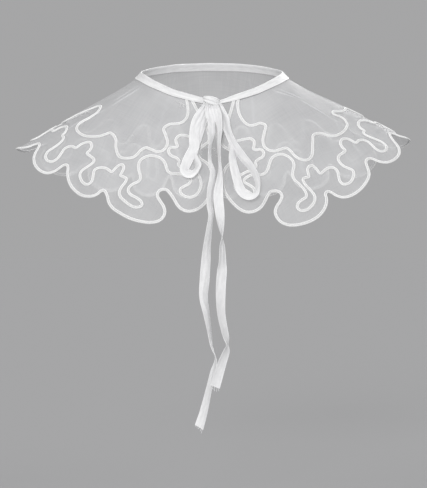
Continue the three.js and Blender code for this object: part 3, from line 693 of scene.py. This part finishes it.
def inside(points, loop, margin):
    """Which points lie in the loop, and at least a margin away from its line."""
    crossed = np.zeros(len(points), bool)
    near = np.full(len(points), np.inf)
    for start, end in zip(loop, np.roll(loop, -1, 0)):
        between = (points[:, 1] < start[1]) != (points[:, 1] < end[1])
        with np.errstate(divide="ignore", invalid="ignore"):
            crossing = start[0] + (points[:, 1] - start[1]) * (end[0] - start[0]) / (end[1] - start[1])
        crossed ^= between & (points[:, 0] < crossing)
        near = np.minimum(near, np.hypot(*(points - start).T))
    return crossed & (near > margin)


field = []
for i, out in enumerate(np.arange(-SEWN_IN + CLOTH_STEP, CLOTH_DEEP, CLOTH_STEP * ROW_SHARE)):
    set_in = (i % 2) * CLOTH_STEP / 2
    field.append(pairs(np.arange(set_in, FULL_TURN * PLANE_MM_PER_DEGREE, CLOTH_STEP), out))
field = np.vstack(field)
field = field[inside(field, outline, EDGE_MARGIN)]
print(len(outline), "points round the cloth and", len(field), "inside")

# %% Cut and drape the cape
CLOTH_LIFT = 0.4
FLAT_RADIUS = 100.0
INSIDE_ONLY, SAME_POINT = 1, 1e-4

flat_points = [Vector(p) for p in np.vstack([outline, field])]
border = [list(range(len(outline)))]
cut, _, triangles, *_ = delaunay_2d_cdt(flat_points, [], border, INSIDE_ONLY, SAME_POINT)
cut = np.array([tuple(p) for p in cut]) / (PLANE_MM_PER_DEGREE, 1)
turn = np.radians(cut[:, 0] - HALF_TURN) * (seam_round / (2 * math.pi * FLAT_RADIUS))
laid_flat = (FLAT_RADIUS + cut[:, 1])[:, None] * np.column_stack([np.sin(turn), np.cos(turn)])
facing_out = [t[::-1] for t in triangles]
cape = new_piece("organza_cape", drape(*cut.T, CLOTH_LIFT), facing_out, laid_flat,
                 organza, "collar_body")

# %% [markdown]
# Pressed creases
#
# Where the cape was folded away, sharp creases are left, and along them the cloth lies double, so
# they show as pale streaks. A bump alone would hardly show on cloth this sheer. Each streak is a
# narrow pinched fold of the same organza, two layers that lie just above the cape and taper to
# nothing at both ends.

# %% Pinch the creases
STREAK_POINTS, STREAK_WIDE, STREAK_LIFT = 40, 3.8, CLOTH_LIFT + 0.15
PINCHED = [(-0.5, 0.0), (0, 0.5), (0.5, 0.0), (0, 0.08)]  # share of the width, and rise
STREAK_TAPER, STREAK_TIP, STREAK_WANDER, STREAK_BENDS = 0.7, 0.02, 0.5, 7


def pinched_fold(number, from_at, from_out, to_at, to_out, height):
    """The lines, faces and map of one fold, as wide as its crease is high."""
    share = np.linspace(0, 1, STREAK_POINTS)
    wander = STREAK_WANDER * np.sin(STREAK_BENDS * share + number) * np.sin(np.pi * share)
    widest = STREAK_WIDE * height / CREASES[:, 4].max()
    wide = widest * np.sin(np.pi * np.clip(share, STREAK_TIP, 1 - STREAK_TIP)) ** STREAK_TAPER
    out = from_out + (to_out - from_out) * share
    lines, maps = [], []
    for aside, rise in PINCHED:
        around = from_at + (to_at - from_at) * share + (wander + aside * wide) / PLANE_MM_PER_DEGREE
        lines.append(drape(around, out, STREAK_LIFT + rise * np.sin(np.pi * share)))
        maps.append(pairs(around * PLANE_MM_PER_DEGREE, out))
    # the last face of each row would join the fold's two ends, so it is left out
    rows = tube_faces(len(PINCHED), STREAK_POINTS, looped=True)
    open_skin = [face for i, face in enumerate(rows) if (i + 1) % STREAK_POINTS]
    return np.stack(lines), open_skin, np.stack(maps)


folds = joined(pinched_fold(number, *crease) for number, crease in enumerate(CREASES))
pressed_creases = new_piece("pressed_creases", *folds, organza)

# %% [markdown]
# Cord finish
#
# The cord is a flat plaited braid. Its strands cross from both edges to the middle, like a row of
# arrows, and there is a groove between its two ribs. The plait could be real strands, but they are
# half a millimetre wide. A bump of slanted waves that mirror each other at the groove does it, and
# the colour is darkened down in the groove as painted shade.

# %% White cotton braid
PLAIT = 0.85

braid = Finish("cotton_braid", slot="cord", Roughness=0.62, Sheen_Weight=0.2, Sheen_Roughness=0.5)
from_groove = braid.math("ABSOLUTE", braid.across)
arrows = braid.wave(braid.math("MULTIPLY_ADD", from_groove, 0.9, braid.along), PLAIT)
fuzz = braid.noise((1, 2.5), size=1.1)
# painted shade: the braid's colour darkens towards the middle of its groove
lit = braid.math("MINIMUM", braid.math("MULTIPLY_ADD", from_groove, 1.5, 0.2), 1.0)
braid.colour(braid.math("MULTIPLY", lit, braid.math("MULTIPLY_ADD", fuzz, 0.3, 0.8)),
             low=(0.66, 0.66, 0.665), high=(0.93, 0.93, 0.925), low_at=0.2, high_at=0.85)
braid.bump(braid.math("MULTIPLY_ADD", fuzz, 0.4, arrows), strength=0.8, distance=0.0002)
print("cotton braid:", len(braid.nodes), "nodes")

# %% [markdown]
# The three cords
#
# Each cord is swept along its line on the cape. A curve object with a bevel would do this too, but
# it would roll over in tight bends. Here every ring of the sweep stands upright on the cloth, so
# the two ribs of the braid always lie side by side. The ends are pressed flat, and those at the top
# go in under the neck ribbon.

# %% Sweep the cords
CORD_STEP = 1.2
CORD_FOOT = CLOTH_LIFT + 0.1
PRESSED_OVER, PRESSED_TO = 4.0, 0.5
BRAID_PROFILE = np.array([  # across, up
    [-1.3, 0], [-1.55, 0.45], [-1.35, 0.95], [-0.85, 1.22], [-0.35, 1.02], [0, 0.72],
    [0.35, 1.02], [0.85, 1.22], [1.35, 0.95], [1.55, 0.45], [1.3, 0],
])


def sewn_cord(name, bends, node):
    """A braid along its bends, and the line that it follows."""
    places = pattern_line(bends, CORD_STEP)
    foot, up = drape(*places.T, CORD_FOOT), outward(*places.T)
    distance = length_along(foot)
    from_end = np.minimum(distance, distance[-1] - distance)
    full = PRESSED_TO + (1 - PRESSED_TO) * np.clip(from_end / PRESSED_OVER, 0, 1)
    profile = BRAID_PROFILE * np.stack([np.ones_like(full), full], -1)[:, None]
    rings = swept(foot, unit(np.cross(along_of(foot), up)), up, profile)
    new_piece(name, rings, tube_faces(len(rings), len(BRAID_PROFILE)),
              pairs(distance[:, None], BRAID_PROFILE[:, 0]), braid, node)
    print(f"{name}: {distance[-1]:.0f} mm long")
    return places


cord_places = [
    sewn_cord("edge_braid", edge_bends, "edge_cord"),
    sewn_cord("wave_braid", wave_bends, "upper_wave_cord"),
    sewn_cord("cloud_braid", cloud_bends, "cloud_cord"),
]

# %% [markdown]
# Stitches
#
# A row of small stitches down the groove holds each cord. They could be a picture of a dashed line,
# but short capsules catch the light and sink at both ends as thread does. The same helper makes the
# row of stitches along the neck ribbon later.

# %% A row of stitches
THREAD_SIDES = 5
STITCH_FORM = np.array([  # share of its length, share of its thickness, and how far it rises
    [-0.5, 0.3, -0.9], [-0.38, 0.85, -0.25], [-0.14, 1, 0],
    [0.14, 1, 0], [0.38, 0.85, -0.25], [0.5, 0.3, -0.9],
])
thread_turn = np.linspace(0, 2 * np.pi, THREAD_SIDES, endpoint=False)
thread_circle = np.column_stack([np.sin(thread_turn), np.cos(thread_turn)])


def stitch_row(name, points, ups, stitch, gap, thick, finish):
    """Capsules of thread along a line, each as long as stitch and gap millimetres apart."""
    distance = length_along(points)
    middles = np.arange(gap, distance[-1] - gap, stitch + gap)
    share, fat, rise = STITCH_FORM.T
    at = (middles[:, None] + share * stitch).ravel()
    line, up, along = (np.column_stack([np.interp(at, distance, column) for column in values.T])
                       for values in (points, ups, along_of(points)))
    profile = np.tile(fat * thick / 2, len(middles))[:, None, None] * thread_circle
    raised = line + up * np.tile(rise * thick, len(middles))[:, None]
    one = tube_faces(len(share), THREAD_SIDES)
    faces = [[corner + k * len(share) * THREAD_SIDES for corner in face]
             for k in range(len(middles)) for face in one]
    print(f"{len(middles)} stitches")
    new_piece(name, swept(raised, np.cross(along, up), up, profile), faces,
              pairs(at[:, None], thread_turn * thick / 2), finish)


# %% Sew the cords down
GROOVE, UNDERSIDE = CORD_FOOT + BRAID_PROFILE[5, 1] + 0.05, CLOTH_LIFT - 0.12
STITCH, STITCH_GAP, STITCH_FREE = 2.1, 0.7, 3
BOTH_SIDES = [  # ending of the name, height, the way it faces, and how thick its thread is
    ("", GROOVE, 1, 0.34), ("_inside", UNDERSIDE, -1, 0.3),
]

for name, places in zip(("edge", "wave", "cloud"), cord_places):
    places = places[STITCH_FREE:-STITCH_FREE]
    up = outward(*places.T)
    for ending, height, way, thick in BOTH_SIDES:
        stitch_row(f"{name}_stitches{ending}", drape(*places.T, height), way * up,
                   STITCH, STITCH_GAP, thick, braid)

# %% [markdown]
# Ribbon finish
#
# The neck ribbon and the bow are one kind of woven ribbon, in two widths. It has fine ribs across
# it, a firm selvedge along both edges, and a quiet shine. The ribs are a bump too: they are under a
# millimetre apart, and there are well over a thousand of them. The selvedge is drawn for the bow's
# width, so on the wider neck ribbon it takes up more than its edge.

# %% Ribbed white ribbon
RIBBON_WIDE = 9.8
RIBBON_THICK = 0.34
RIB, SELVEDGE = 0.9, 0.7

ribbed = Finish("ribbed_ribbon", slot="ribbon", Roughness=0.48, Sheen_Weight=0.15, Sheen_Roughness=0.35)
ribs = ribbed.wave(ribbed.along, RIB)
to_edge = ribbed.math("ABSOLUTE", ribbed.across)
selvedge = ribbed.math("GREATER_THAN", to_edge, RIBBON_WIDE / 2 - SELVEDGE)
uneven = ribbed.noise((0.25, 1), size=2.2)
threads = ribbed.math("MAXIMUM", ribs, ribbed.math("MULTIPLY", selvedge, 0.9))
ribbed.colour(ribbed.math("MULTIPLY_ADD", threads, 0.22, ribbed.math("MULTIPLY", uneven, 0.7)),
              low=(0.72, 0.72, 0.73), high=(0.92, 0.92, 0.92), low_at=0.2, high_at=0.75)
ribbed.bump(ribbed.math("MULTIPLY_ADD", uneven, 0.35, threads), strength=0.5, distance=0.00022)
print("ribbed ribbon:", len(ribbed.nodes), "nodes")

# %% [markdown]
# The ribbon over the neck edge
#
# A ribbon about twice as wide as it looks is folded over the raw neck edge, so that it shows on both
# sides, and is sewn through close to its lower edge. A flat band with a Solidify modifier would have
# no fold at the top and no room for the cloth. Here the folded section itself is swept round the
# neck. It is gathered where it runs into the knot, more on one side than on the other.

# %% Fold the ribbon over the neck edge
BAND_SLOPE, BAND_STEP, BAND_LOW = 54.0, 2.0, 0.4
FOLDED = np.array([  # up from the seam, and outwards
    [-0.3, 1.75], [0.5, 1.5], [1.4, 1.15], [3, 1.0], [5, 0.86], [6.8, 0.72], [7.7, 0.5], [8.1, 0.2],
    [8.15, -0.2], [7.75, -0.5], [6.8, -0.68], [5, -0.76], [3, -0.8], [1.4, -0.85], [0.5, -0.9],
    [-0.1, -0.95],
])
GATHERED = np.array([  # degrees round, and the share of its height that the band keeps there
    [2, 0.46], [6, 0.56], [10, 0.7], [14, 0.88], [20, 0.97], [28, 1], [345, 1.03], [351, 1.02],
    [355, 0.96], [358, 0.8],
])
LEAST_THICK, GATHERED_RISE = 0.3, 0.5
WAVERS = [(0.14, 13, 0), (0.1, 5.1, 1)]  # rise, length, and start
DRAWN_IN, DRAWN_IN_OVER, FRONT_FACE = 0.3, 15.0, 0.6
DRAWN_IN_UP, DRAWN_IN_ROUND = 2.3, 0.04
NECK_POINTS = 1500


def neck_places(around):
    """The seam point, and the band's rise and face directions, at degrees round the neck."""
    side = np.where(around <= HALF_TURN, 1.0, -1.0)
    _, x, y, z, heading, *_ = np.moveaxis(spokes_at(np.where(side > 0, around, FULL_TURN - around)), -1, 0)
    heading, slope = np.radians(heading), math.radians(BAND_SLOPE)
    inward = np.stack([-side * np.sin(heading), np.cos(heading), 0 * heading], -1)
    rise = inward * math.cos(slope) + (0, 0, math.sin(slope))
    face = (0, 0, math.cos(slope)) - inward * math.sin(slope)
    return np.stack([side * x, y, z], -1), rise, face


def both_faces(path, thick):
    """A closed section, thick round an open path of (across, up) points."""
    across = along_of(path)[..., ::-1] * (-1, 1)
    return np.concatenate([path + across * thick / 2, (path - across * thick / 2)[::-1]])


near_neck = np.linspace(GATHERED[0, 0], GATHERED[-1, 0], NECK_POINTS)
band_at = even_steps(near_neck[:, None], BAND_STEP, neck_places(near_neck)[0])[:, 0]
seam, rise, face = neck_places(band_at)
band_along = length_along(seam)
keep = np.interp(band_at, *GATHERED.T)
pinch = LEAST_THICK + (1 - LEAST_THICK) * keep
waver = sum(height * np.sin(band_along / length + start) for height, length, start in WAVERS)
settle = GATHERED_RISE * (1 - keep) + waver - BAND_LOW

section_up, section_out = both_faces(FOLDED, RIBBON_THICK).T
from_front = np.minimum(band_at, FULL_TURN - band_at)[:, None]
creased = DRAWN_IN * np.exp(-((from_front / DRAWN_IN_OVER) ** 2))
creased = creased * np.cos(section_up * DRAWN_IN_UP + DRAWN_IN_ROUND * band_at[:, None])
creased = creased * (section_up > FRONT_FACE)
sections = np.stack([section_up * keep[:, None] + settle[:, None],
                     section_out * pinch[:, None] + creased], -1)
fold_path = length_along(FOLDED)
ribbon_across = np.concatenate([fold_path, fold_path[::-1]]) - fold_path[-1] / 2
neck_ribbon = new_piece("neck_ribbon", swept(seam, rise, face, sections),
                        tube_faces(len(seam), len(section_up), turned=True),
                        pairs(band_along[:, None], ribbon_across),
                        ribbed, "neck_binding")
print(f"neck ribbon: {fold_path[-1]:.1f} mm wide and {band_along[-1]:.0f} mm long before it is folded")

# %% [markdown]
# The seam of the neck ribbon
#
# One row of stitches goes through the ribbon and the cloth, close to the ribbon's lower edge, so it
# shows on both faces. It stops short of the knot, where nothing can be sewn. The helper that sewed
# the cords makes it, with the ribbon's own thread.

# %% Sew the neck ribbon down
SEWN_FROM, SEWN_TO, SEWN_UP, PROUD = 12, 350, 1.5, 0.08
NECK_STITCH, NECK_GAP, NECK_THREAD = 2.3, 0.9, 0.3

sewn = (band_at > SEWN_FROM) & (band_at < SEWN_TO)
for name, face_out, way in (("neck_stitches", 1.15, 1), ("neck_stitches_inside", 0.85, -1)):
    out = way * (face_out + RIBBON_THICK / 2 + PROUD) * pinch
    row = seam + rise * (SEWN_UP * keep + settle)[:, None] + face * out[:, None]
    stitch_row(name, row[sewn], way * face[sewn], NECK_STITCH, NECK_GAP, NECK_THREAD, ribbed)

# %% [markdown]
# The bow
#
# The ribbon of the bow leaves the knot gathered, opens out to its full width, and turns over as it
# hangs. Cloth simulation could drop a ribbon, but it would never fall into this same bow. So each
# strip follows rows of four numbers: how many millimetres its middle lies to the right, up, and in
# front of the cape, and by how many degrees its face is turned away.

# %% Rows of the loops and the tails
LEFT_LOOP = [
    (-5.6, -29.6, 8.8, 0), (-10.4, -37.6, 8.2, 6), (-15, -46.5, 8.6, 10), (-17.1, -60.6, 9, 8),
    (-17.1, -71.4, 9.2, 4), (-21.6, -80.6, 9.2, 6), (-24.8, -88, 9, 20), (-26.2, -92.6, 8.9, 28),
    (-24.4, -95.8, 8.8, 26), (-20.9, -96.8, 8.5, 28), (-17.5, -95.2, 7.8, 48), (-14.6, -92.1, 7.2, 62),
    (-13.4, -89.1, 6.8, 53), (-14.4, -86, 6.6, 51), (-17.1, -80, 6.4, 46), (-16.8, -71.4, 6.2, 26),
    (-14, -60, 6.2, 8), (-10.2, -47, 5.8, 4), (-8, -38, 5.6, 0), (-6, -30.6, 5.4, 0),
]
RIGHT_LOOP = [
    (5.9, -28.8, 8.8, -10), (9.8, -38, 8, -26), (12.6, -44.6, 8.4, -36), (14.5, -54.4, 8.8, -43),
    (20.1, -67, 9.4, -47), (29.2, -80.7, 9.6, -40), (37.6, -91.4, 9.8, -48), (42.6, -102, 9.8, -57),
    (43, -110.4, 9.8, -65), (40.6, -116.4, 9.2, -54), (35, -117.8, 8.2, -26), (29.2, -114.7, 7.4, -20),
    (25.9, -108.4, 7, -28), (22.3, -95.3, 6.8, -34), (19.9, -82.5, 6.8, -45), (20.3, -71.4, 6.6, -52),
    (17.1, -60, 6.2, -50), (13.2, -49, 5.8, -30), (9.8, -39, 5.4, -10), (6.2, -30.6, 5.2, 0),
]
LEFT_TAIL = [
    (-3, -29.4, 9.8, 0), (-2.4, -37.6, 9.6, 16), (-0.6, -46, 10, 44), (-0.2, -54, 9.8, 47),
    (-0.3, -59.2, 9.6, 56), (-1.6, -69, 9.4, 76), (-1.6, -83.6, 9, 72), (1, -95.3, 9, 60),
    (-1.2, -113.6, 7.6, 52), (-1.8, -127, 7.8, 54), (-0.6, -137.5, 8, 60), (-2.4, -150.8, 8, 56),
    (-4.2, -164, 8, 46), (-5.5, -179.1, 8, 28), (-6.8, -197.5, 8, 20), (-7.7, -214, 8, 36),
    (-5, -229.1, 8, 52), (-2.4, -244.2, 8, 66), (0.2, -260.3, 8, 78), (3.8, -273, 8, 100),
    (1.2, -284.4, 8, 118), (-2, -298, 8, 122), (-7.8, -322.6, 8, 138), (-12, -336.6, 8, 152),
]
RIGHT_TAIL = [
    (2.6, -29.2, 9.8, 0), (4.8, -37.6, 10.6, -24), (6.6, -46, 11.4, -50), (7.2, -54, 11.4, -62),
    (6.4, -68, 11, -70), (6.8, -83.6, 10.4, -77), (7.1, -92.1, 10.9, -72), (6.9, -100.1, 11.4, -56),
    (5.9, -119.3, 12.6, -20), (7.4, -134.6, 12, -28), (8.8, -150.8, 11, -66), (9.3, -157.4, 11, -90),
    (9.5, -165.9, 11, -118), (9.8, -181.9, 11, -136), (9.3, -190, 11, -158), (8.3, -205.5, 11, -160),
    (8.7, -229.1, 11, -140), (11.5, -244.2, 11.5, -130), (13.4, -252.6, 12, -121),
    (14.3, -258.8, 12.3, -102), (13.9, -263.8, 12.6, -124), (9.7, -275.3, 14, -144),
    (2.8, -298.1, 15.5, -164),
]
KNOT_MIDDLE = np.array([-0.7, -71.2, -24.6])
HEM_Z, FRONT_BULGE = -142.0, 0.0022


def front_at(x, z):
    """How far forward the cape's centre front is at a height; below its hem, straight down."""
    slope = SPOKES[0, 5:]
    steep = np.radians([slope[:2].mean(), (slope[0] + slope[1:].mean()) / 2])
    outs = np.array([MID_OUT, RIM_OUT])
    ys = np.append(SPOKES[0, 2], SPOKES[0, 2] - outs * np.cos(steep))
    zs = np.append(SPOKES[0, 3], SPOKES[0, 3] - outs * np.sin(steep))
    height = np.maximum(z, HEM_Z)
    upper = ys[0] + (ys[1] - ys[0]) * (height - zs[0]) / (zs[1] - zs[0])
    lower = ys[1] + (ys[2] - ys[1]) * (height - zs[1]) / (zs[2] - zs[1])
    return np.where(height > zs[1], upper, lower) + FRONT_BULGE * x * x


# %% [markdown]
# A strip of ribbon
#
# The strip's section is a row of points across the ribbon. Near the knot they are drawn together
# and pushed into small pleats that die out further down. Elsewhere the section has only a slight
# hollow and a few long soft creases, which keep the light from lying flat on it. A free end is cut on
# the slant.

# %% The middle line and the relief of a strip
TO_FRONT, UP = np.array([0, -1.0, 0]), np.array([0, 0, 1.0])
STRIP_STEP, STRIP_POINTS, ROOT_SHARE = 1.0, 13, 0.35
AT_KNOT_WIDE, OPENS_OVER = 5.6, 22.0
LATE_PLEATS, LATE_PLEATS_REACH = 0.45, 34
CREASE_SHARP, SLANT_OVER, HOLLOW_LEVEL = 1.1, 9, 0.35

# the least and the most that chance gives each soft crease
CREASE_AT, CREASE_LONG, CREASE_ASIDE = (0.12, 0.95), (9, 26), (-0.7, 0.7)
CREASE_SLANT, CREASE_RISE = (-0.03, 0.03), (0.25, 0.55)


def strip_line(rows, looped):
    """Points down the middle of a strip, and its turn there, from the knot to the end or back."""
    right, up, ahead, turn = np.array(rows, float).T
    middle = np.column_stack([right, front_at(right, up) - ahead, up, turn])
    first, last = ([*(KNOT_MIDDLE + (end[:3] - KNOT_MIDDLE) * ROOT_SHARE), 0] for end in middle[[0, -1]])
    fine = smooth_line(np.vstack([first, middle, last] if looped else [first, middle]))
    fine = even_steps(fine, STRIP_STEP, fine[:, :3])
    return fine[:, :3], np.radians(fine[:, 3])[:, None]


def ribbon_sides(share):
    """Where the corners of a ribbon's section lie across it, on one face and back on the other."""
    return np.concatenate([share, share[:, ::-1]], 1) * RIBBON_WIDE / 2


def strip_relief(share, distance, from_knot, opened, pleats, hollow, creases, seed):
    """How far the ribbon's face rises: pleats near the knot, a slight hollow, a few soft creases."""
    count, phase = pleats
    late = LATE_PLEATS * np.exp(-from_knot / LATE_PLEATS_REACH) * opened
    relief = ((1 - opened) * np.cos(np.pi * count * share + phase)
              + late * np.cos(np.pi * (count - 1) * share + phase)
              + hollow * opened * (share * share - HOLLOW_LEVEL))
    chance, length_in_all = random.Random(seed), distance[-1, 0]
    for _ in range(creases):
        at, length = chance.uniform(*CREASE_AT) * length_in_all, chance.uniform(*CREASE_LONG)
        where, slant = chance.uniform(*CREASE_ASIDE), chance.uniform(*CREASE_SLANT)
        rise = chance.choice((-1, 1)) * chance.uniform(*CREASE_RISE)
        off = (share - where - slant * (distance - at)) * RIBBON_WIDE / 2 / CREASE_SHARP
        relief = relief + rise * np.exp(-off * off) * np.exp(-(((distance - at) / length) ** 2))
    return relief


# %% Make a strip
def strip(name, rows, node, looped, pleats, hollow, creases, seed, cut_slant=0.0):
    """A hanging ribbon along its rows, from the knot to a free end or back to the knot."""
    points, turn = strip_line(rows, looped)
    along, distance = along_of(points), length_along(points)[:, None]
    flat = unit(np.cross(along, TO_FRONT))
    across = flat * np.cos(turn) + np.cross(flat, along) * np.sin(turn)

    to_end = distance[-1] - distance
    from_knot = np.minimum(distance, to_end) if looped else distance
    opened = np.clip(from_knot / OPENS_OVER, 0, 1)
    opened = opened * opened * (3 - 2 * opened)
    wide = AT_KNOT_WIDE + (RIBBON_WIDE - AT_KNOT_WIDE) * opened
    share = np.linspace(-1, 1, STRIP_POINTS)[None]
    relief = strip_relief(share, distance, from_knot, opened, pleats, hollow, creases, seed)
    sections = np.stack([both_faces(path, RIBBON_THICK) for path in pairs(share * wide / 2, relief)])
    rings = swept(points, across, np.cross(along, across), sections)
    if not looped:
        near_end = np.clip(1 - to_end / SLANT_OVER, 0, 1)[:, None]
        rings = rings + along[:, None] * near_end * cut_slant * sections[..., :1]
    piece = new_piece(name, rings, tube_faces(len(rings), 2 * STRIP_POINTS, turned=True),
                      pairs(distance, ribbon_sides(share)), ribbed, node, crisp=60)
    print(f"{name}: {distance[-1, 0]:.0f} mm of ribbon")
    return rings


strip("left_loop", LEFT_LOOP, "bow_loop_left", looped=True,
      pleats=(3, 0.6), hollow=0.5, creases=7, seed=3)
strip("right_loop", RIGHT_LOOP, "bow_loop_right", looped=True,
      pleats=(3, -0.4), hollow=0.55, creases=8, seed=5)
left_tail = strip("left_tail", LEFT_TAIL, "tie_tail_left", looped=False,
                  pleats=(3, 0.2), hollow=0.45, creases=10, seed=7, cut_slant=0.2)
right_tail = strip("right_tail", RIGHT_TAIL, "tie_tail_right", looped=False,
                   pleats=(3, 1.0), hollow=0.45, creases=9, seed=11, cut_slant=0.05)

# %% [markdown]
# Loose threads
#
# Cut ribbon frays, and one thread of the collar has caught and pulled out near the neck. Hair
# particles could do it, but there are only thirteen, and each has its place. They are thin round
# threads along short bent lines, with seeded chances, so that they come out the same every time.

# %% Loose threads at the cut ends and near the neck
FRAY_THICK, FRAY_COUNT, FRAY_LONG = 0.42, 5, (1.2, 3.2)
FRAY_BEND = [(-0.5, 0.5), (-0.3, 0.1), (-0.4, 0.3)]  # least and most to the right, back and up
FRAY_POINTS = [(0.4, 0), (0.8, 0.5), (1, 1)]  # share of its length, and of its bend
PULLED_THICK, PULLED_LIFT = 0.8, CLOTH_LIFT + 1.2
ASIDE = (0.31, -0.9, 0.3)  # a direction that none of the threads runs in
MAP_PER_RADIAN = 0.1  # millimetres of the flat map
PULLED = [  # each line as degrees round and millimetres down
    [(333.6, 5), (335.6, 5.8), (338, 5.6), (340.4, 6.6), (342, 6.2)],
    [(337.4, 5.8), (338.2, 7.6), (337.6, 9.4), (338.8, 10.6)],
    [(339.6, 6.4), (339.8, 8.2), (341, 9.4)],
]


def fine_threads(name, lines, thick, finish):
    """Thin round threads along several lines, as one piece."""
    skins = []
    for line in lines:
        line = smooth_line(line, pieces=6)
        along = along_of(line)
        side = unit(np.cross(along, ASIDE))
        skins.append((swept(line, side, np.cross(side, along), thread_circle * thick / 2),
                      tube_faces(len(line), THREAD_SIDES),
                      pairs(length_along(line)[:, None], thread_turn * MAP_PER_RADIAN)))
    new_piece(name, *joined(skins), finish)


chance = random.Random(17)
frayed = []
for tail in (left_tail, right_tail):
    end, before = tail[-1], tail[-3]
    way = unit((end - before).mean(0))
    for k in range(FRAY_COUNT):
        start = end[int((k + 0.5) * STRIP_POINTS / FRAY_COUNT)]
        bend = np.array([chance.uniform(*ends) for ends in FRAY_BEND])
        length = chance.uniform(*FRAY_LONG)
        frayed.append([start - way, *(start + (way + bend * bent) * length * share
                                      for share, bent in FRAY_POINTS)])
fine_threads("frayed_ends", frayed, FRAY_THICK, ribbed)
pulled = [drape(*np.array(line).T, PULLED_LIFT) for line in PULLED]
fine_threads("pulled_thread", pulled, PULLED_THICK, braid)

# %% [markdown]
# The knot
#
# The last turn of the ribbon goes round the other layers and is pulled tight, so it lies in slanted
# pleats and its edges roll in. A squashed ball would look like a bead. This is one more strip of
# ribbon whose two ends meet, swept round an oval, with the pleats in its section.

# %% Wrap the knot
WRAP_WIDE, WRAP_DEEP, WRAP_TALL = 7.9, 5.9, 3.9
WRAP_STEPS, WRAP_POINTS = 56, 21
WRAP_LEAN, WRAP_BEND, WRAP_BEND_FROM, WRAP_LOW = -1.5, 0.5, 0.4, 0.1
WRAP_NARROWS, NARROWS_LATE = 0.42, 2.5
SLANT_ROUND, SLANT_BACK = 0.28, 0.2
ROLLED_IN, ROLLED_DEEP, ROLLED_LATE = 1.45, 1.3, 3.2
PLEATS = [(0.42, 1.45, 0.5), (0.2, 2.6, 2.0)]  # rise, count from the middle to an edge, and start

around = np.linspace(0, 2 * np.pi, WRAP_STEPS, endpoint=False)[:, None]
right, back = np.cos(around), np.sin(around)
wrap_up = WRAP_LEAN * right + WRAP_BEND * np.cos(2 * around + WRAP_BEND_FROM) - WRAP_LOW
wrap_line = KNOT_MIDDLE + np.hstack([WRAP_WIDE * right, WRAP_DEEP * back, wrap_up])
wrap_outward = unit(np.hstack([right / WRAP_WIDE, back / WRAP_DEEP, 0 * right]))

share = np.linspace(-1, 1, WRAP_POINTS)[None]
narrow = 1 - WRAP_NARROWS * np.abs(right) ** NARROWS_LATE
slanted = share + SLANT_ROUND * right - SLANT_BACK * back**2
pleat = sum(rise * np.cos(2 * np.pi * count * slanted + start) for rise, count, start in PLEATS)
rolled = pleat * (1 - share**4) - ROLLED_DEEP * np.abs(share) ** ROLLED_LATE
wrap_path = pairs(WRAP_TALL * narrow * np.sin(ROLLED_IN * share) / math.sin(ROLLED_IN), rolled)
wrap_sections = np.stack([both_faces(path, RIBBON_THICK) for path in wrap_path])
wrap_rings = swept(wrap_line, np.tile(UP, (WRAP_STEPS, 1)), wrap_outward, wrap_sections)
wrap_distance = length_along(wrap_line)[:, None]
wrap_faces = tube_faces(WRAP_STEPS, 2 * WRAP_POINTS, looped=True, turned=True)
knot_wrap = new_piece("knot_wrap", wrap_rings, wrap_faces,
                      pairs(wrap_distance, ribbon_sides(share)), ribbed, "bow_knot", crisp=70)
print(f"knot: a turn of {wrap_distance[-1, 0]:.0f} mm")

# %% [markdown]
# Inside the knot
#
# Seen from above, a wrap alone is an empty ring. In a real knot the ribbon's other layers pass
# through it, crushed together. They could each be swept in full, but only their upper edges ever
# show. So one bundle fills the ring: a squashed section, with a crest for each crushed layer, that
# runs from side to side and narrows at both ends.

# %% Fill the knot
BUNDLE_HALF, BUNDLE_DEEP, BUNDLE_TALL = 7.0, 4.6, 3.3
BUNDLE_BACK, BUNDLE_UP, BUNDLE_FALL = 0.5, 0.3, 1.2
BUNDLE_LAYERS, CREST_HIGH, CREST_TWIST = 7, 0.11, 1.5
BUNDLE_NARROWS, BUNDLE_NARROWS_LATE = 0.62, 2.4
BUNDLE_RINGS, BUNDLE_POINTS = 24, 56

share = np.linspace(-1, 1, BUNDLE_RINGS)[:, None]
bundle_line = KNOT_MIDDLE + np.hstack([BUNDLE_HALF * share, BUNDLE_BACK * share,
                                       BUNDLE_UP - BUNDLE_FALL * share])
turn_round = np.linspace(0, 2 * np.pi, BUNDLE_POINTS, endpoint=False)[None]
crest = 1 + CREST_HIGH * np.cos(BUNDLE_LAYERS * turn_round + CREST_TWIST * share)
full = (1 - BUNDLE_NARROWS * np.abs(share) ** BUNDLE_NARROWS_LATE) * crest
bundle_up = np.tile(UP, (BUNDLE_RINGS, 1))
bundle_sections = pairs(BUNDLE_DEEP * full * np.sin(turn_round), BUNDLE_TALL * full * np.cos(turn_round))
bundle_rings = swept(bundle_line, np.cross(along_of(bundle_line), bundle_up), bundle_up, bundle_sections)
new_piece("knot_layers", bundle_rings, tube_faces(BUNDLE_RINGS, BUNDLE_POINTS),
          pairs(BUNDLE_HALF * share, BUNDLE_DEEP * turn_round), ribbed, crisp=70)
